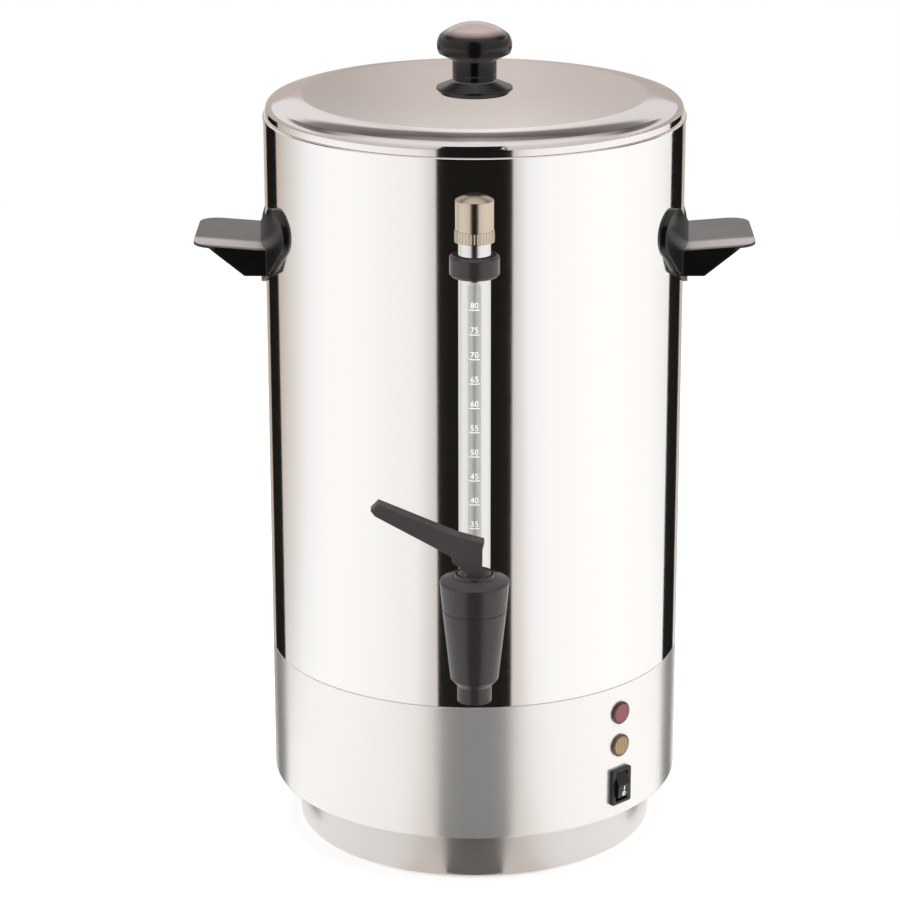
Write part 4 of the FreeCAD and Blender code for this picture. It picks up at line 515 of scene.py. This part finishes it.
signs = bmesh.new()
bar = bmesh.ops.create_grid(signs, x_segments=1, y_segments=1, size=0.5)
bmesh.ops.scale(signs, vec=(0.6 * MM, 2.4 * MM, 1), verts=bar["verts"])
bmesh.ops.translate(signs, vec=(0, -BAR_DROP, 0), verts=bar["verts"])
ring_outer = bmesh.ops.create_circle(signs, segments=28, radius=1.25 * MM, cap_ends=False)["verts"]
ring_inner = bmesh.ops.create_circle(signs, segments=28, radius=0.75 * MM, cap_ends=False)["verts"]
bmesh.ops.translate(signs, vec=(0, -RING_DROP, 0), verts=ring_outer + ring_inner)
bmesh.ops.bridge_loops(signs, edges=[edge for edge in signs.edges if not edge.link_faces])
# Stand the marks up, lay them on the lower face of the rocker, then turn them to the panel
lean_cos, lean_sin = math.cos(FACE_LEAN), math.sin(FACE_LEAN)
nose = (ROCKER_REACH * lean_cos, ROCKER_REACH * lean_sin)
shoulder = (ROCKER_SHOULDER * lean_cos + ROCKER_HALF * lean_sin,
            ROCKER_SHOULDER * lean_sin - ROCKER_HALF * lean_cos)
for vert in signs.verts:
    share = -vert.co.y / (ROCKER_HALF * MM)
    out = (nose[0] + (shoulder[0] - nose[0]) * share + SIGN_LIFT) * MM
    rise = (nose[1] + (shoulder[1] - nose[1]) * share) * MM
    vert.co = (vert.co.x, PIVOT.y - out, PIVOT.z + rise)
bmesh.ops.rotate(signs, matrix=Matrix.Rotation(PANEL_TURN, 3, "Z"), verts=signs.verts)
bmesh.ops.recalc_face_normals(signs, faces=signs.faces)
sign_mesh = bpy.data.meshes.new("switch_marks")
signs.to_mesh(sign_mesh)
signs.free()
switch_marks = bpy.data.objects.new("switch_marks", sign_mesh)
bpy.context.scene.collection.objects.link(switch_marks)
# The rocker's marks share the white print and its painted glow
switch_marks.data.materials.append(white_print_painted_glow)
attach(switch_marks, "rocker")
print("switch mark faces:", len(sign_mesh.polygons))

# %% [markdown]
# ## Floor, backdrop and light
# A product like this is shot on white, with large soft lights at each side and
# above, and a dark gap where the camera stands. Steel shows that gap as a black
# band down its middle, so black cards make it here. The cards are only seen in
# reflections, and the lamps never are. The floor keeps a soft shadow of the urn.
#
# The levels in SIDES, BEHIND, ABOVE and DRIFT were fitted to the photograph's own
# steel. They make this picture, and are no measurement of a real room.

# %% Floor
FLOOR_HALF = 6
FADE_START = 0.7
FADE_END = 1.6
WHITE = (1, 1, 1, 1)

floor_mesh = bpy.data.meshes.new("studio_floor")
sheet = bmesh.new()
bmesh.ops.create_grid(sheet, x_segments=1, y_segments=1, size=FLOOR_HALF)
sheet.to_mesh(floor_mesh)
sheet.free()
floor = bpy.data.objects.new("studio_floor", floor_mesh)
bpy.context.scene.collection.objects.link(floor)

# How bright the white sides look in steel: degrees round from the front, positive to the right
SIDES = ((-180, 0.80), (-160, 0.5), (-132, 0.56), (-113, 0.79), (-98, 0.99), (-86, 1.06), (-74, 1.08),
         (-58, 1.05), (-48, 1.02), (-29, 0.95), (-20, 0.72), (20, 0.72), (29, 0.99), (39, 1.06), (58, 1.10),
         (75, 1.12), (106, 1.08), (120, 1.00), (132, 0.90), (160, 0.5), (180, 0.80))


def reflected(tree, path):
    """One for rays that come from a reflection or through glass, and nought for the rest."""
    return add(tree, "ShaderNodeMath", {0: path.outputs["Is Glossy Ray"],
                                        1: path.outputs["Is Transmission Ray"]}, operation="MAXIMUM")


def warm(level):
    """A linear level that turns a little towards cream as it gets darker."""
    if level < 1:
        return (level, level ** 1.22, level ** 1.42, 1.0)
    return (level, level * 0.995, level * 0.98, 1.0)


def side_light(tree):
    """A light that changes with the direction round the urn, for reflections only."""
    place = add(tree, "ShaderNodeTexCoord").outputs["Object"]
    parts = add(tree, "ShaderNodeSeparateXYZ", {"Vector": place})
    front = add(tree, "ShaderNodeMath", {0: parts.outputs["Y"], 1: -1.0}, operation="MULTIPLY")
    turn = add(tree, "ShaderNodeMath", {0: parts.outputs["X"], 1: front.outputs[0]}, operation="ARCTAN2")
    share = add(tree, "ShaderNodeMapRange", {"Value": turn.outputs[0], "From Min": -math.pi,
                                             "From Max": math.pi})
    level = stepped(tree, share.outputs[0], [((angle + 180) / 360, warm(level)) for angle, level in SIDES])
    return add(tree, "ShaderNodeEmission", {"Color": level, "Strength": 1.0})


paper = bpy.data.materials.new("white_studio_paper")
paper.use_nodes = True
tree = paper.node_tree
shader = tree.nodes["Principled BSDF"]
shader.inputs["Base Color"].default_value = linear("#e6e6e6")
shader.inputs["Roughness"].default_value = 0.9
shader.inputs["Specular IOR Level"].default_value = 0.0
path = add(tree, "ShaderNodeLightPath")
glow = add(tree, "ShaderNodeEmission", {"Color": WHITE, "Strength": 0.5})
lifted = add(tree, "ShaderNodeAddShader", {0: shader.outputs[0], 1: glow.outputs[0]})
# Far from the urn the paper fades into the white backdrop, so that its edge never shows
place = add(tree, "ShaderNodeTexCoord").outputs["Object"]
away = add(tree, "ShaderNodeVectorMath", {0: place}, operation="LENGTH")
fade = add(tree, "ShaderNodeMapRange", {"Value": away.outputs["Value"], "From Min": FADE_START,
                                          "From Max": FADE_END})
blank = add(tree, "ShaderNodeEmission", {"Color": WHITE, "Strength": 1.0})
faded = add(tree, "ShaderNodeMixShader", {0: fade.outputs[0], 1: lifted.outputs[0], 2: blank.outputs[0]})
seen = add(tree, "ShaderNodeMixShader", {0: path.outputs["Is Camera Ray"], 1: shader.outputs[0],
                                         2: faded.outputs[0]})
mirrored = reflected(tree, path)
veil = add(tree, "ShaderNodeMixShader", {0: mirrored.outputs[0], 1: seen.outputs[0],
                                         2: side_light(tree).outputs[0]})
tree.links.new(veil.outputs[0], tree.nodes["Material Output"].inputs["Surface"])
floor_mesh.materials.append(paper)

# %% World
# The room over the urn, as its reflections see it: degrees up from level, behind the urn and in front
BEHIND = ((0, "#d3c8c1"), (12.1, "#d3c8c1"), (12.7, "#fffefc"), (26, "#fffefc"), (30, "#989290"),
          (42, "#6f6967"), (60, "#f6f3f1"), (90, "#fbf8f7"))
ABOVE = ((0, "#c9c4c3"), (30, "#d8d4d3"), (60, "#efedec"), (90, "#f0eeee"))
# How the light behind varies across the lid: sideways part of the direction, then its level
DRIFT = ((-0.08, 0.84), (-0.062, 0.80), (-0.05, 0.72), (-0.04, 0.745), (-0.03, 0.81), (-0.017, 0.89),
         (0.0, 0.94), (0.014, 0.99), (0.027, 0.905), (0.052, 0.826), (0.08, 0.78))
DRIFT_REACH = 0.08
UPRIGHT = 90

world = bpy.data.worlds.new("studio")
bpy.context.scene.world = world
world.use_nodes = True
tree = world.node_tree
path = add(tree, "ShaderNodeLightPath")
background = tree.nodes["Background"]
background.inputs["Color"].default_value = WHITE
level = add(tree, "ShaderNodeMapRange", {"Value": path.outputs["Is Camera Ray"], "To Min": 0.45,
                                         "To Max": 1.0})
tree.links.new(level.outputs[0], background.inputs["Strength"])
mirrored = reflected(tree, path)
view = add(tree, "ShaderNodeTexCoord").outputs["Generated"]
parts = add(tree, "ShaderNodeSeparateXYZ", {"Vector": view})
climb = add(tree, "ShaderNodeMath", {0: parts.outputs["Z"]}, operation="ARCSINE")
climb = add(tree, "ShaderNodeMapRange", {"Value": climb.outputs[0], "From Min": 0.0,
                                         "From Max": math.pi / 2})
behind = stepped(tree, climb.outputs[0], [(angle / UPRIGHT, linear(colour)) for angle, colour in BEHIND])
above = stepped(tree, climb.outputs[0], [(angle / UPRIGHT, linear(colour)) for angle, colour in ABOVE])
drift = add(tree, "ShaderNodeMapRange", {"Value": parts.outputs["X"], "From Min": -DRIFT_REACH,
                                         "From Max": DRIFT_REACH})
drift_stops = [((x + DRIFT_REACH) / (2 * DRIFT_REACH), grey(level)) for x, level in DRIFT]
drift = stepped(tree, drift.outputs[0], drift_stops)
tinted = add(tree, "ShaderNodeVectorMath", {0: behind, 1: drift}, operation="MULTIPLY")
rear = add(tree, "ShaderNodeMapRange", {"Value": parts.outputs["Y"], "From Min": 0.0, "From Max": 0.3})
dome = add(tree, "ShaderNodeMix", {"Factor": rear.outputs[0], 6: above, 7: tinted.outputs[0]},
           data_type="RGBA")
sky = add(tree, "ShaderNodeBackground", {"Color": dome.outputs[2], "Strength": 1.0})
veil = add(tree, "ShaderNodeMixShader", {0: mirrored.outputs[0], 1: background.outputs[0],
                                         2: sky.outputs[0]})
tree.links.new(veil.outputs[0], tree.nodes["World Output"].inputs["Surface"])

# %% Lamps
for name, place, size, power in (
        ("softbox_left", (-2.2, -1.2, 2.0), 1.6, 26),
        ("softbox_right", (2.2, -1.0, 1.8), 1.6, 26),
        ("softbox_top", (0.0, 0.4, 2.8), 1.8, 30)):
    lamp_data = bpy.data.lights.new(name, "AREA")
    lamp_data.size = size
    lamp_data.energy = power
    lamp = bpy.data.objects.new(name, lamp_data)
    lamp.location = place
    lamp.rotation_euler = (Vector((0, 0, 0.2)) - lamp.location).to_track_quat("-Z", "Y").to_euler()
    lamp.visible_glossy = False
    bpy.context.scene.collection.objects.link(lamp)

# %% [markdown]
# ## Black cards
# The wedges lie just over the floor, because the camera looks down and a steel
# wall sends its view on to the floor. The angles come from the photograph: the
# band ends 10 degrees round from the front, so its reflection ends at 20.

# %% Cards
black_card = bpy.data.materials.new("black_card")
black_card.use_nodes = True
card_shader = black_card.node_tree.nodes["Principled BSDF"]
card_shader.inputs["Base Color"].default_value = linear("#1d1b18")
card_shader.inputs["Roughness"].default_value = 1.0
card_shader.inputs["Specular IOR Level"].default_value = 0.0


def card(name, corners):
    """A black card seen only in reflections."""
    shape = bmesh.new()
    shape.faces.new([shape.verts.new(corner) for corner in corners])
    mesh = bpy.data.meshes.new(name)
    shape.to_mesh(mesh)
    shape.free()
    mesh.materials.append(black_card)
    flag = bpy.data.objects.new(name, mesh)
    bpy.context.scene.collection.objects.link(flag)
    flag.visible_camera = False
    flag.visible_diffuse = False
    flag.visible_shadow = False
    flag.visible_transmission = False


def ray_end(start_x, start_y, azimuth, reach):
    """Where a level line that starts beside the tank ends, azimuth degrees from -Y."""
    turn = math.radians(azimuth)
    return start_x + reach * math.sin(turn), start_y - reach * math.cos(turn)


CARD_LIFT = 2 * MM
CARD_TOP = 4.0
TANK_RADIUS = 117.5 * MM
FRONT_SPREAD = 20.4
EDGE_STARTS = (68.5, 79)
EDGE_OUTER_TURN = 158
EDGE_INNER_TURN = {-1: 137, 1: 135}

near, far = 16.5 * MM, 3.0
near_y = -103.5 * MM
left = ray_end(-near, near_y, -FRONT_SPREAD, far)
right = ray_end(near, near_y, FRONT_SPREAD, far)
card("card_front_floor", [(-near, near_y, CARD_LIFT), (near, near_y, CARD_LIFT),
                          (*right, CARD_LIFT), (*left, CARD_LIFT)])
card("card_front_wall", [(*left, CARD_LIFT), (*right, CARD_LIFT), (*right, CARD_TOP), (*left, CARD_TOP)])
for side in (-1, 1):
    starts = [ray_end(0, 0, side * angle, TANK_RADIUS) for angle in EDGE_STARTS]
    turns = (EDGE_INNER_TURN[side], EDGE_OUTER_TURN)
    ends = [ray_end(*start, side * turn, far) for start, turn in zip(starts, turns)]
    card("card_edge", [(*starts[0], CARD_LIFT), (*ends[0], CARD_LIFT), (*ends[1], CARD_LIFT),
                       (*starts[1], CARD_LIFT)])
